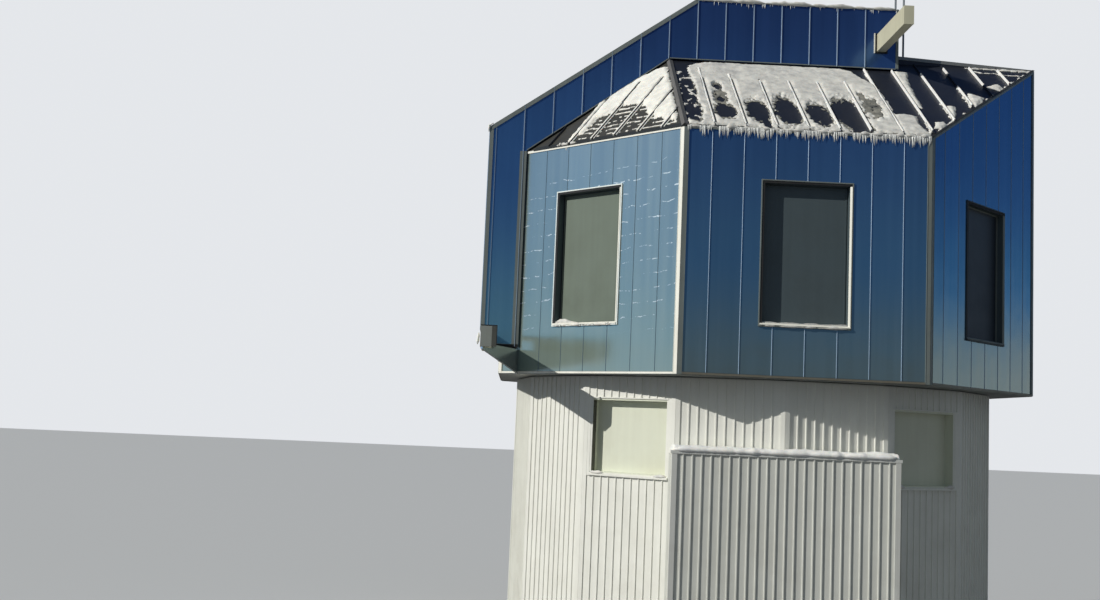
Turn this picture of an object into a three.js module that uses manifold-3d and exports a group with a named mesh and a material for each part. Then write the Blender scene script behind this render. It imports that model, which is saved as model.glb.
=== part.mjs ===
// An eight-sided rotating observatory dome on a sixteen-sided drum, in millimetres, +Z up.
// The origin is on the turning axis at ground level. The slit faces -X, and the left side is -Y.
import * as THREE from 'three';
import { mergeVertices } from 'three/addons/utils/BufferGeometryUtils.js';
import Module from 'manifold-3d';

const wasm = await Module();
wasm.setup();

// Clearances
const SEAT = 0.3; // left between pieces that touch
const REST = 0.5; // left where a moving piece bears on its track

// Rotating octagon
const SIDE = 4700; // length of one wall
const DOME_Z = 6000; // underside of the octagon above ground
const EAVE = 4700; // height of the eave above that underside
const ROOF_PITCH = THREE.MathUtils.degToRad(36);
const WALL = 120; // thickness of the insulated walls
const SILL_RING = 100; // thickness of the floor ring under the walls
const SILL_RING_BORE = 4850; // radius of the hole in it
const ROOF_DROP = 125; // roof thickness measured straight down
const GIRDER_DROP = 300; // the same for the girders beside the slit

// Slit and the two shutter halves that part sideways above it
const SLIT_HALF = 1850;
const SLIT_SILL = 900; // above the octagon's underside
const SLIT_REAR = 2000; // where the slit ends behind the axis
const SHUTTER_HALF = 2780; // outer face of a shutter's side wall
const SKIN = 50; // thickness of the shutter's walls
const SHUTTER_FRONT = -6100;
const SHUTTER_BEND = -1820;
const SHUTTER_REAR = 2560;
const SHUTTER_EAVE = 5190; // these four heights are above the octagon's underside
const SHUTTER_TOP = 8180;
const SHUTTER_FRONT_FOOT = 870;
const SHUTTER_LEG_FOOT = 550;
const SHUTTER_CLEAR = 15; // above the roof and the brackets
const SHUTTER_MEET = 2.5; // half the gap between the two halves

// Beams that the shutters slide on; the front one is a low rail with a deeper left end
const BEAM_REACH = 4650; // half their length
const FRONT_BEAM = { x0: -6030, x1: -5840, z0: 420, rail: 750, z1: 830, deep: 3050 };
const BEAM_SEAT = { y: 2150, half: 150 }; // blocks between its rail and the front wall
const REAR_BEAM = { x0: 2100, x1: 2290, z0: 7235, z1: 7615 };
const REAR_BEAM_SEAT = 2300; // half length of the plinth below it
const BEAM_HOLE = 20; // room round the rear beam in the shutter's side wall
// Plate under that left end: foot is how far from the middle it meets the wall, nose its other end
const BRACKET = { thick: 40, foot: 2740, nose: [-5990, 4600], noseDepth: 40, room: 50 };

// Rise of the tapered cap on the deck behind the shutters
const CAP_RISE = 170;

// Vent doors in the octagon's walls
const VENT = { half: 850, z0: 980, z1: 3710, frame: 45, proud: 15, recess: 150, panel: 55 };

// Fixed drum
const DRUM_R = 5270; // outer radius to a corner
const DRUM_SIDES = 16;
const DRUM_TURN = THREE.MathUtils.degToRad(-2.55); // the dome stands a little off the drum's corners
const DRUM_WALL = 150;
const DRUM_TOP = 5985;
const SLAB = 200;
const FLOOR = { z0: 3000, z1: 3150 };
const TRACK = { z0: 5750, r: 4900 };
const WINDOW = { half: 880, z0: 4060, z1: 5550, frame: 40, proud: 10, recess: 190, panel: 50 };
const WINDOW_FACETS = [1, 6, 9, 14];

// Straight bay on the drum's left side, with a ledge on top
const BAY = { half: 2110, front: 5500, wall: 150, top: 4550, ledge: 50, lip: 20 };

// Two slim masts on the deck
const MAST = { radius: 22, y: -2000, top: 9000, x: [2726, 2909] };

const EIGHTH = Math.PI / 4;
const APOTHEM = (SIDE / 2) * (1 + Math.SQRT2);
const HALF = SIDE / 2;
const RIDGE = EAVE + (APOTHEM - HALF) * Math.tan(ROOF_PITCH);
const CAP_START = SHUTTER_REAR + SHUTTER_CLEAR;
const DRUM_STEP = (2 * Math.PI) / DRUM_SIDES;
const DRUM_APOTHEM = DRUM_R * Math.cos(DRUM_STEP / 2);
const DRUM_INNER = DRUM_APOTHEM - DRUM_WALL;

const finishes = {
  panel: new THREE.MeshStandardMaterial({ color: 0x5d7f9c, roughness: 0.3, metalness: 0.8 }),
  roof: new THREE.MeshStandardMaterial({ color: 0x3a3d42, roughness: 0.4, metalness: 0.7 }),
  vent: new THREE.MeshStandardMaterial({ color: 0x767a70, roughness: 0.6, metalness: 0.2 }),
  cladding: new THREE.MeshStandardMaterial({ color: 0xd9dcdc, roughness: 0.5, metalness: 0.2 }),
  window: new THREE.MeshStandardMaterial({ color: 0xd8d8c4, roughness: 0.6, metalness: 0.1 }),
  beam: new THREE.MeshStandardMaterial({ color: 0xb9b8a0, roughness: 0.6, metalness: 0.2 }),
  steel: new THREE.MeshStandardMaterial({ color: 0x6f7376, roughness: 0.5, metalness: 0.7 }),
  concrete: new THREE.MeshStandardMaterial({ color: 0x9a9a96, roughness: 0.9, metalness: 0 }),
};

// Heights of the roof's outer faces over a point of the plan, above the octagon's underside
const sideRoof = (x, y) => EAVE + (APOTHEM - Math.abs(y)) * Math.tan(ROOF_PITCH);
const frontRoof = (x) => EAVE + (APOTHEM - Math.abs(x)) * Math.tan(ROOF_PITCH);
const hipSlope = (RIDGE - EAVE) / (APOTHEM - HALF * Math.SQRT2);
const hipRoof = (x, y) => EAVE + (APOTHEM - (Math.abs(x) + Math.abs(y)) * Math.SQRT1_2) * hipSlope;

// The lowest of the roof's faces over a point, which is the one that is built there
function roofOver(x, y) {
  const ahead = x < 0 ? [frontRoof(x), hipRoof(x, y)] : [];
  return Math.min(RIDGE, sideRoof(x, y), ...ahead);
}

function piece(name, geometry, finish) {
  const mesh = new THREE.Mesh(geometry, finishes[finish]);
  mesh.name = name;
  return mesh;
}

// A closed body over a plan outline, between two heights that may change over the plan
function column(plan, top, bottom) {
  const heightOf = (height, x, y) => (typeof height === 'function' ? height(x, y) : height);
  const outline = plan.map(([x, y]) => new THREE.Vector2(x, y));
  if (THREE.ShapeUtils.isClockWise(outline)) outline.reverse();
  const count = outline.length;
  const positions = [];
  for (const height of [bottom, top]) {
    for (const { x, y } of outline) positions.push(x, y, heightOf(height, x, y));
  }
  const index = [];
  for (const [a, b, c] of THREE.ShapeUtils.triangulateShape(outline, [])) {
    index.push(c, b, a);
    index.push(a + count, b + count, c + count);
  }
  for (let i = 0; i < count; i += 1) {
    const next = (i + 1) % count;
    index.push(i, next, next + count);
    index.push(i, next + count, i + count);
  }
  const geometry = new THREE.BufferGeometry();
  geometry.setAttribute('position', new THREE.Float32BufferAttribute(positions, 3));
  geometry.setIndex(index);
  return geometry;
}

function extrude(outline, length, holes = []) {
  const shape = new THREE.Shape(outline.map(([a, b]) => new THREE.Vector2(a, b)));
  for (const hole of holes) {
    shape.holes.push(new THREE.Path(hole.map(([a, b]) => new THREE.Vector2(a, b))));
  }
  return new THREE.ExtrudeGeometry(shape, { depth: length, bevelEnabled: false });
}

// An outline of (x, z) points carried along Y from y0 to y1
function alongY(outline, y0, y1, holes) {
  const geometry = extrude(outline, Math.abs(y1 - y0), holes);
  const basis = new THREE.Matrix4().makeBasis(
    new THREE.Vector3(1, 0, 0),
    new THREE.Vector3(0, 0, 1),
    new THREE.Vector3(0, -1, 0),
  );
  return geometry.applyMatrix4(basis).translate(0, Math.max(y0, y1), 0);
}

// An outline of (y, z) points carried along X from x0 to x1
function alongX(outline, x0, x1) {
  const geometry = extrude(outline, x1 - x0);
  const basis = new THREE.Matrix4().makeBasis(
    new THREE.Vector3(0, 1, 0),
    new THREE.Vector3(0, 0, 1),
    new THREE.Vector3(1, 0, 0),
  );
  return geometry.applyMatrix4(basis).translate(x0, 0, 0);
}

function box(x0, x1, y0, y1, z0, z1) {
  const geometry = new THREE.BoxGeometry(x1 - x0, y1 - y0, z1 - z0);
  return geometry.translate((x0 + x1) / 2, (y0 + y1) / 2, (z0 + z1) / 2);
}

function toSolid(geometry) {
  const bare = geometry.clone();
  bare.deleteAttribute('normal');
  bare.deleteAttribute('uv');
  const merged = mergeVertices(bare, 1e-3);
  const vertProperties = new Float32Array(merged.attributes.position.array);
  const triVerts = new Uint32Array(merged.index.array);
  return new wasm.Manifold(new wasm.Mesh({ numProp: 3, vertProperties, triVerts }));
}

function fromSolid(solid) {
  const mesh = solid.getMesh();
  const geometry = new THREE.BufferGeometry();
  geometry.setAttribute('position', new THREE.Float32BufferAttribute(mesh.vertProperties, 3));
  geometry.setIndex(Array.from(mesh.triVerts));
  return geometry;
}

function cut(geometry, tool) {
  return fromSolid(toSolid(geometry).subtract(toSolid(tool)));
}

// Moves each edge of a convex outline inwards by a gap
function inset(plan, gap) {
  const outline = plan.map(([x, y]) => new THREE.Vector2(x, y));
  if (THREE.ShapeUtils.isClockWise(outline)) outline.reverse();
  const count = outline.length;
  return outline.map((corner, i) => {
    const before = corner.clone().sub(outline[(i + count - 1) % count]).normalize();
    const after = outline[(i + 1) % count].clone().sub(corner).normalize();
    const normals = [before, after].map((edge) => new THREE.Vector2(-edge.y, edge.x));
    const bisector = normals[0].clone().add(normals[1]);
    const scale = gap / (bisector.dot(normals[0]));
    return [corner.x + bisector.x * scale, corner.y + bisector.y * scale];
  });
}

// Plan corners of one straight wall of a ring, centred on -Y before it is turned
function wallPlan(outerHalf, apothem, thick, halfAngle) {
  const innerHalf = outerHalf - thick * Math.tan(halfAngle);
  return [
    [-outerHalf + SEAT, -apothem],
    [outerHalf - SEAT, -apothem],
    [innerHalf - SEAT, -apothem + thick],
    [-innerHalf + SEAT, -apothem + thick],
  ];
}

const turned = (plan, angle) => plan.map(([x, y]) => [
  x * Math.cos(angle) - y * Math.sin(angle),
  x * Math.sin(angle) + y * Math.cos(angle),
]);

// A framed door or window set into a wall: a tray open to the outside, with its panel at the back
function tray(size, face) {
  const half = size.half - SEAT;
  const back = -face + size.recess + size.panel;
  const body = box(-half, half, -face - size.proud, back, size.z0 + SEAT, size.z1 - SEAT);
  const inner = size.half - size.frame;
  const pocket = box(
    -inner,
    inner,
    -face - 2 * size.proud,
    -face + size.recess,
    size.z0 + size.frame,
    size.z1 - size.frame,
  );
  return cut(body, pocket);
}

function opening(size, face, thick) {
  return box(-size.half, size.half, -face - thick, -face + 2 * thick, size.z0, size.z1);
}

// The octagon's sides in order from the front round by the left
const sides = ['front', 'front_left', 'left', 'rear_left', 'rear', 'rear_right', 'right', 'front_right'];

function octagonWalls() {
  const group = new THREE.Group();
  sides.forEach((name, i) => {
    const angle = (i - 2) * EIGHTH;
    const plan = turned(wallPlan(HALF, APOTHEM, WALL, EIGHTH / 2), angle);
    const wall = column(plan, (x, y) => roofOver(x, y) - ROOF_DROP - SEAT, SILL_RING);
    if (i === 0) {
      const slit = box(-APOTHEM - WALL, -APOTHEM + 2 * WALL, -SLIT_HALF, SLIT_HALF, SLIT_SILL, RIDGE);
      group.add(piece('wall_front', cut(wall, slit), 'panel'));
      return;
    }
    const doorway = opening(VENT, APOTHEM, WALL).rotateZ(angle);
    group.add(piece(`wall_${name}`, cut(wall, doorway), 'panel'));
    const vent = piece(`vent_${name}`, tray(VENT, APOTHEM), 'vent');
    vent.rotation.z = angle;
    group.add(vent);
  });
  return group;
}

function sillRing() {
  const corner = APOTHEM / Math.cos(EIGHTH / 2);
  const ring = (radius, count, start) => Array.from({ length: count }, (_, i) => {
    const angle = start + (i * 2 * Math.PI) / count;
    return [radius * Math.cos(angle), radius * Math.sin(angle)];
  });
  const shape = extrude(ring(corner, 8, EIGHTH / 2), SILL_RING, [ring(SILL_RING_BORE, 32, 0).reverse()]);
  return piece('dome_ring', shape, 'steel');
}

function roofs() {
  const group = new THREE.Group();
  for (const [name, hand] of [['left', -1], ['right', 1]]) {
    const slope = inset([
      [-HALF, hand * APOTHEM],
      [HALF, hand * APOTHEM],
      [APOTHEM, hand * HALF],
      [-HALF, hand * HALF],
    ], SEAT);
    const slopeRoof = column(slope, sideRoof, (x, y) => sideRoof(x, y) - ROOF_DROP);
    group.add(piece(`roof_${name}`, slopeRoof, 'roof'));
    const hip = inset([[-APOTHEM, hand * HALF], [-HALF, hand * APOTHEM], [-HALF, hand * HALF]], SEAT);
    const hipPlate = column(hip, hipRoof, (x, y) => hipRoof(x, y) - ROOF_DROP);
    group.add(piece(`hip_roof_${name}`, hipPlate, 'roof'));
    const step = -APOTHEM + 2 * WALL;
    const girder = [
      [-APOTHEM, EAVE],
      [-APOTHEM, EAVE - ROOF_DROP],
      [step, frontRoof(step) - ROOF_DROP],
      [step, frontRoof(step) - GIRDER_DROP],
      [-HALF, RIDGE - GIRDER_DROP],
      [SLIT_REAR, RIDGE - GIRDER_DROP],
      [SLIT_REAR, RIDGE],
      [-HALF, RIDGE],
    ];
    const beam = alongY(girder, hand * SLIT_HALF, hand * (HALF - SEAT));
    group.add(piece(`slit_girder_${name}`, beam, 'roof'));
  }
  return group;
}

function rearDeck() {
  const outline = [
    [SLIT_REAR + SEAT, RIDGE - ROOF_DROP],
    [APOTHEM, RIDGE - ROOF_DROP],
    [APOTHEM, RIDGE],
    [CAP_START, RIDGE + CAP_RISE],
    [CAP_START, RIDGE],
    [SLIT_REAR + SEAT, RIDGE],
  ];
  return piece('rear_deck', alongY(outline, -HALF + SEAT, HALF - SEAT), 'roof');
}

function beams() {
  const group = new THREE.Group();
  const { x0, x1, z0, rail, z1, deep } = FRONT_BEAM;
  const front = [
    [-BEAM_REACH, z0],
    [-deep, z0],
    [-deep, rail],
    [BEAM_REACH, rail],
    [BEAM_REACH, z1],
    [-BEAM_REACH, z1],
  ];
  group.add(piece('front_beam', alongX(front, x0, x1), 'beam'));
  for (const [name, y] of [['left', -BEAM_SEAT.y], ['right', BEAM_SEAT.y]]) {
    const seat = box(x1 + SEAT, -APOTHEM - SEAT, y - BEAM_SEAT.half, y + BEAM_SEAT.half, rail, z1);
    group.add(piece(`beam_seat_${name}`, seat, 'steel'));
  }
  const plinth = RIDGE + SEAT;
  const outline = [
    [-BEAM_REACH, REAR_BEAM.z0],
    [-REAR_BEAM_SEAT, REAR_BEAM.z0],
    [-REAR_BEAM_SEAT, plinth],
    [REAR_BEAM_SEAT, plinth],
    [REAR_BEAM_SEAT, REAR_BEAM.z0],
    [BEAM_REACH, REAR_BEAM.z0],
    [BEAM_REACH, REAR_BEAM.z1],
    [-BEAM_REACH, REAR_BEAM.z1],
  ];
  group.add(piece('rear_beam', alongX(outline, REAR_BEAM.x0, REAR_BEAM.x1), 'beam'));
  const foot = [BRACKET.foot - APOTHEM * Math.SQRT2 - 2 * SEAT, BRACKET.foot];
  const run = [foot[0] - BRACKET.nose[0], BRACKET.nose[1] - foot[1]];
  const reach = Math.hypot(...run);
  const underBeam = (reach * (foot[0] - x1 - SHUTTER_CLEAR - BRACKET.thick)) / run[0];
  const top = SHUTTER_LEG_FOOT - BRACKET.room;
  const side = [
    [-reach, z0 - SEAT],
    [-reach, z0 - BRACKET.noseDepth],
    [0, 0],
    [0, top],
    [-underBeam, top],
    [-underBeam, z0 - SEAT],
  ];
  const plate = alongY(side, 0, BRACKET.thick)
    .rotateZ(Math.atan2(run[1], run[0]))
    .translate(foot[0], -foot[1], 0);
  group.add(piece('beam_bracket', plate, 'steel'));
  return group;
}

function masts() {
  const group = new THREE.Group();
  const fall = CAP_RISE / (APOTHEM - CAP_START);
  MAST.x.forEach((x, i) => {
    const foot = RIDGE + (APOTHEM - x + MAST.radius) * fall + SEAT;
    const rod = new THREE.CylinderGeometry(MAST.radius, MAST.radius, MAST.top - foot, 10);
    rod.rotateX(Math.PI / 2);
    rod.translate(x, MAST.y, (foot + MAST.top) / 2);
    group.add(piece(`mast_${i + 1}`, rod, 'steel'));
  });
  return group;
}

// One half of the shutter: side wall, front, bent top and rear, riding on the two beams
function shutterHalf(name, hand) {
  const group = new THREE.Group();
  const inner = SHUTTER_HALF - SKIN;
  const rise = (SHUTTER_TOP - SHUTTER_EAVE) / (SHUTTER_BEND - SHUTTER_FRONT);
  const slopeSkin = SKIN * Math.hypot(1, rise);
  const underside = (x) => SHUTTER_EAVE - slopeSkin + (x - SHUTTER_FRONT) * rise;
  const foot = sideRoof(0, inner) + SHUTTER_CLEAR;
  const legRear = -(APOTHEM * Math.SQRT2 - inner) - SHUTTER_CLEAR;
  const legTop = hipRoof(legRear, inner) + SHUTTER_CLEAR;
  const beamRest = FRONT_BEAM.z1 + REST;
  const legFront = FRONT_BEAM.x1 + 2 * SHUTTER_CLEAR;
  const sideOutline = [
    [SHUTTER_FRONT, beamRest],
    [legFront, beamRest],
    [legFront, SHUTTER_LEG_FOOT],
    [legRear, SHUTTER_LEG_FOOT],
    [legRear, legTop],
    [-HALF, foot],
    [SHUTTER_REAR, foot],
    [SHUTTER_REAR, SHUTTER_TOP],
    [SHUTTER_BEND, SHUTTER_TOP],
    [SHUTTER_FRONT, SHUTTER_EAVE],
  ];
  const beamHole = [
    [REAR_BEAM.x0 - BEAM_HOLE, REAR_BEAM.z0 - BEAM_HOLE],
    [REAR_BEAM.x0 - BEAM_HOLE, REAR_BEAM.z1 + REST],
    [REAR_BEAM.x1 + BEAM_HOLE, REAR_BEAM.z1 + REST],
    [REAR_BEAM.x1 + BEAM_HOLE, REAR_BEAM.z0 - BEAM_HOLE],
  ];
  const side = alongY(sideOutline, hand * inner, hand * SHUTTER_HALF, [beamHole]);
  group.add(piece(`${name}_shutter_side`, side, 'panel'));

  const near = hand * SHUTTER_MEET;
  const far = hand * (inner - SEAT);
  const frontBack = SHUTTER_FRONT + SKIN;
  const frontOutline = [
    [SHUTTER_FRONT, SHUTTER_FRONT_FOOT],
    [frontBack, SHUTTER_FRONT_FOOT],
    [frontBack, underside(frontBack) - SEAT],
    [SHUTTER_FRONT, underside(SHUTTER_FRONT) - SEAT],
  ];
  group.add(piece(`${name}_shutter_front`, alongY(frontOutline, near, far), 'panel'));

  const bendUnder = SHUTTER_BEND + (slopeSkin - SKIN) / rise;
  const topOutline = [
    [SHUTTER_FRONT, SHUTTER_EAVE],
    [SHUTTER_FRONT, underside(SHUTTER_FRONT)],
    [bendUnder, SHUTTER_TOP - SKIN],
    [SHUTTER_REAR, SHUTTER_TOP - SKIN],
    [SHUTTER_REAR, SHUTTER_TOP],
    [SHUTTER_BEND, SHUTTER_TOP],
  ];
  group.add(piece(`${name}_shutter_top`, alongY(topOutline, near, far), 'panel'));

  const deck = RIDGE + SHUTTER_CLEAR;
  const rearOutline = [
    [near, deck],
    [hand * HALF, deck],
    [far, foot],
    [far, SHUTTER_TOP - SKIN - SEAT],
    [near, SHUTTER_TOP - SKIN - SEAT],
  ];
  const rear = alongX(rearOutline, SHUTTER_REAR - SKIN, SHUTTER_REAR);
  group.add(piece(`${name}_shutter_rear`, rear, 'panel'));
  return group;
}

const drumCorner = (radius, i) => [
  radius * Math.sin(i * DRUM_STEP),
  -radius * Math.cos(i * DRUM_STEP),
];

// The drum's wall in lengths of two sides each, with a window in some of the sides
function drumWalls() {
  const group = new THREE.Group();
  const innerR = DRUM_INNER / Math.cos(DRUM_STEP / 2);
  for (let i = 0; i < DRUM_SIDES; i += 2) {
    const outer = [0, 1, 2].map((j) => drumCorner(DRUM_R, i + j));
    const inner = [2, 1, 0].map((j) => drumCorner(innerR, i + j));
    const shorten = (from, to) => {
      const length = Math.hypot(to[0] - from[0], to[1] - from[1]);
      return [0, 1].map((axis) => from[axis] + ((to[axis] - from[axis]) * SEAT) / length);
    };
    const plan = [
      shorten(outer[0], outer[1]),
      outer[1],
      shorten(outer[2], outer[1]),
      shorten(inner[0], inner[1]),
      inner[1],
      shorten(inner[2], inner[1]),
    ];
    let wall = column(plan, DRUM_TOP, SLAB);
    const facet = [i, i + 1].find((side) => WINDOW_FACETS.includes(side));
    if (facet !== undefined) {
      const angle = (facet + 0.5) * DRUM_STEP;
      wall = cut(wall, opening(WINDOW, DRUM_APOTHEM, DRUM_WALL).rotateZ(angle));
      const window = tray(WINDOW, DRUM_APOTHEM).rotateZ(angle);
      group.add(piece(`drum_window_${WINDOW_FACETS.indexOf(facet) + 1}`, window, 'window'));
    }
    group.add(piece(`drum_wall_${i / 2 + 1}`, wall, 'cladding'));
  }
  return group;
}

// How far out the drum's wall stands on the bay's side, at a distance x from the middle
function drumFace(x) {
  const angle = x < drumCorner(DRUM_R, 1)[0] ? DRUM_STEP / 2 : DRUM_STEP * 1.5;
  return (x * Math.sin(angle) - DRUM_APOTHEM) / Math.cos(angle);
}

function groundSlab() {
  const { half, front } = BAY;
  const plan = Array.from({ length: DRUM_SIDES - 3 }, (_, i) => drumCorner(DRUM_R, i + 2));
  plan.push([-half, drumFace(half)], [-half, -front], [half, -front], [half, drumFace(half)]);
  return piece('ground_slab', column(plan, SLAB, 0), 'concrete');
}

function observingFloor() {
  const radius = (DRUM_INNER - SEAT) / Math.cos(DRUM_STEP / 2);
  const plan = Array.from({ length: DRUM_SIDES }, (_, i) => drumCorner(radius, i));
  return piece('observing_floor', column(plan, FLOOR.z1, FLOOR.z0), 'concrete');
}

// The ring beam and rail round the drum's top that the dome turns on
function trackRing() {
  const radius = (DRUM_INNER - SEAT) / Math.cos(DRUM_STEP / 2);
  const outer = Array.from({ length: DRUM_SIDES }, (_, i) => drumCorner(radius, i));
  const bore = Array.from({ length: DRUM_SIDES }, (_, i) => drumCorner(TRACK.r, -i));
  const ring = extrude(outer, DOME_Z - REST - TRACK.z0, [bore]).translate(0, 0, TRACK.z0);
  return piece('track_ring', ring, 'steel');
}

function bay() {
  const group = new THREE.Group();
  const [cornerX, cornerY] = drumCorner(DRUM_R, 1);
  const { half } = BAY;
  const inner = half - BAY.wall;
  const outerBack = drumFace(half) - 2 * SEAT;
  const innerBack = drumFace(inner) - 2 * SEAT;
  const wall = [
    [-half, outerBack],
    [-half, -BAY.front],
    [half, -BAY.front],
    [half, outerBack],
    [cornerX, cornerY - 2 * SEAT],
    [inner, innerBack],
    [inner, -BAY.front + BAY.wall / 2],
    [-inner, -BAY.front + BAY.wall / 2],
    [-inner, innerBack],
    [-cornerX, cornerY - 2 * SEAT],
  ];
  group.add(piece('bay_wall', column(wall, BAY.top, SLAB), 'cladding'));
  const ledge = [
    [-half, outerBack],
    [-cornerX, cornerY - 2 * SEAT],
    [0, -DRUM_R - SEAT],
    [cornerX, cornerY - 2 * SEAT],
    [half, outerBack],
    [half + BAY.lip, -BAY.front - BAY.lip],
    [-half - BAY.lip, -BAY.front - BAY.lip],
  ];
  group.add(piece('bay_ledge', column(ledge, BAY.top + BAY.ledge, BAY.top), 'cladding'));
  return group;
}

const dome = new THREE.Group();
dome.position.z = DOME_Z;
dome.add(sillRing(), octagonWalls(), roofs(), rearDeck(), beams(), masts());
dome.add(shutterHalf('left', -1), shutterHalf('right', 1));

const drum = new THREE.Group();
drum.rotation.z = DRUM_TURN;
drum.add(groundSlab(), observingFloor(), drumWalls(), trackRing(), bay());

const observatory = new THREE.Group();
observatory.add(drum, dome);

export default observatory;
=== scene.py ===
import math
import random

import bmesh
import bpy
from mathutils import Matrix, Vector, noise


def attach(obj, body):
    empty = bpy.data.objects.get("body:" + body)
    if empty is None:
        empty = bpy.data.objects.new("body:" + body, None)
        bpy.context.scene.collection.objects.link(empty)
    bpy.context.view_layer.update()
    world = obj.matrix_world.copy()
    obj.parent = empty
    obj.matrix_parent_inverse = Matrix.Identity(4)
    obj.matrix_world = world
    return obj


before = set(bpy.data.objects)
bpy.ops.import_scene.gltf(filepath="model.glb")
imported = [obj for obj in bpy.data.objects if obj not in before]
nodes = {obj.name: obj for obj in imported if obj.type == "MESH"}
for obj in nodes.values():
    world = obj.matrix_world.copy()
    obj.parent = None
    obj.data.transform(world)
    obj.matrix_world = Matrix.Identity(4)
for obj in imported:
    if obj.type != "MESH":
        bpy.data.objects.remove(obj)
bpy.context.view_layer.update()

up = Vector((0, 0, 1))

# The building's own sizes, in metres, as the frame has them
octagon = {"side": 4.7, "eave": 10.7, "pitch": math.radians(36)}
octagon["half"] = octagon["side"] / 2
octagon["apothem"] = octagon["half"] * (1 + math.sqrt(2))
octagon["roofSlope"] = math.tan(octagon["pitch"])
octagon["ridge"] = octagon["eave"] + octagon["half"] * math.sqrt(2) * octagon["roofSlope"]
octagon["hipDepth"] = octagon["apothem"] - octagon["half"] * math.sqrt(2)
octagon["hipSlope"] = (octagon["ridge"] - octagon["eave"]) / octagon["hipDepth"]
shutter = {
    "face": 2.78, "front": -6.1, "bend": -1.82, "rear": 2.56, "frontTop": 11.19, "top": 14.18,
    "frontFoot": 6.87, "beamRest": 6.8305, "legFront": -5.81, "legRear": -5.308, "legFoot": 6.55,
    "legTop": 10.704, "foot": 12.8534,
}
drum = {
    "radius": 5.27, "sides": 16, "turn": math.radians(-2.55), "slab": 0.2, "bayHalf": 2.11, "bayFront": 5.5,
}
drum["step"] = 2 * math.pi / drum["sides"]
drum["apothem"] = drum["radius"] * math.cos(drum["step"] / 2)
drum["half"] = drum["radius"] * math.sin(drum["step"] / 2)
sun = Vector((-0.8076, -0.3312, 0.4879)).normalized()
sides = ((-1, "left"), (1, "right"))


# Camera at the photo's place, fitted to the building's edges
view = {
    "place": (-5.2923, -28.4404, 4.9878), "lens": 40.426, "sensor": 36.0, "near": 0.5, "far": 1000,
    "yaw": math.radians(1.3585), "pitch": math.radians(5.7264), "roll": math.radians(2.4661),
}


def makeCamera():
    yaw, pitch, roll = view["yaw"], view["pitch"], view["roll"]
    ahead = Vector((math.sin(yaw) * math.cos(pitch), math.cos(yaw) * math.cos(pitch), math.sin(pitch)))
    right = Vector((math.cos(yaw), -math.sin(yaw), 0))
    above = right.cross(ahead)
    rolledRight = math.cos(roll) * right + math.sin(roll) * above
    rolledAbove = math.cos(roll) * above - math.sin(roll) * right
    data = bpy.data.cameras.new("camera")
    data.lens = view["lens"]
    data.sensor_width = view["sensor"]
    data.clip_start, data.clip_end = view["near"], view["far"]
    camera = bpy.data.objects.new("camera", data)
    bpy.context.collection.objects.link(camera)
    turn = Matrix((rolledRight, rolledAbove, -ahead)).transposed()
    camera.matrix_world = Matrix.Translation(view["place"]) @ turn.to_4x4()
    bpy.context.scene.camera = camera


makeCamera()
print("camera placed")


# Shader helpers
def addNode(tree, kind, inputs=None, **settings):
    made = tree.nodes.new("ShaderNode" + kind)
    for key, value in settings.items():
        setattr(made, key, value)
    for key, value in (inputs or {}).items():
        if isinstance(value, bpy.types.NodeSocket):
            tree.links.new(value, made.inputs[key])
        else:
            made.inputs[key].default_value = value
    return made


def placeGroup(tree, group, inputs):
    return addNode(tree, "Group", inputs, node_tree=group).outputs[0]


def mixColour(tree, share, first, second, how="MIX"):
    return addNode(tree, "Mix", {0: share, 6: first, 7: second}, data_type="RGBA", blend_type=how).outputs[2]


def sums(tree, operation, first, second=0.5, clamp=False):
    return addNode(tree, "Math", {0: first, 1: second}, operation=operation, use_clamp=clamp).outputs[0]


def objectPlace(tree):
    return addNode(tree, "TexCoord").outputs["Object"]


def axis(tree, vector, letter):
    return addNode(tree, "SeparateXYZ", {0: vector}).outputs[letter]


def cloudNoise(tree, place, scale, detail, roughness=0.5):
    inputs = {"Vector": place, "Scale": scale, "Detail": detail, "Roughness": roughness}
    return addNode(tree, "TexNoise", inputs).outputs[0]


def remap(tree, value, low, high, start=0.0, end=1.0, how="LINEAR"):
    inputs = {"Value": value, "From Min": low, "From Max": high, "To Min": start, "To Max": end}
    return addNode(tree, "MapRange", inputs, interpolation_type=how).outputs[0]


def startGroup(name, inputs, label, kind):
    tree = bpy.data.node_groups.new(name, "ShaderNodeTree")
    for key, value in inputs.items():
        socket = "NodeSocketColor" if isinstance(value, tuple) else "NodeSocketFloat"
        tree.interface.new_socket(name=key, in_out="INPUT", socket_type=socket).default_value = value
    tree.interface.new_socket(name=label, in_out="OUTPUT", socket_type="NodeSocket" + kind)
    result = tree.nodes.new("NodeGroupOutput").inputs[label]
    return tree, tree.nodes.new("NodeGroupInput").outputs, result


def colour(red, green, blue):
    # from eight-bit values, as they show on a screen, to the shader's linear ones
    shares = (c / 255 / 12.92 if c < 11 else ((c / 255 + 0.055) / 1.055) ** 2.4 for c in (red, green, blue))
    return tuple(shares) + (1.0,)


def makeRiseFade():
    # three colours one above the other, by height on the building
    grey = (0.1, 0.1, 0.1, 1)
    tree, given, result = startGroup("riseFade", {
        "Lowest": 6.0, "Middle": 8.3, "Highest": 10.6,
        "Low Colour": grey, "Middle Colour": grey, "High Colour": grey,
    }, "Colour", "Color")
    place = axis(tree, objectPlace(tree), "Z")
    below = remap(tree, place, given["Lowest"], given["Middle"], how="SMOOTHSTEP")
    above = remap(tree, place, given["Middle"], given["Highest"], how="SMOOTHSTEP")
    lower = mixColour(tree, below, given["Low Colour"], given["Middle Colour"])
    tree.links.new(mixColour(tree, above, lower, given["High Colour"]), result)
    return tree


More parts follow.
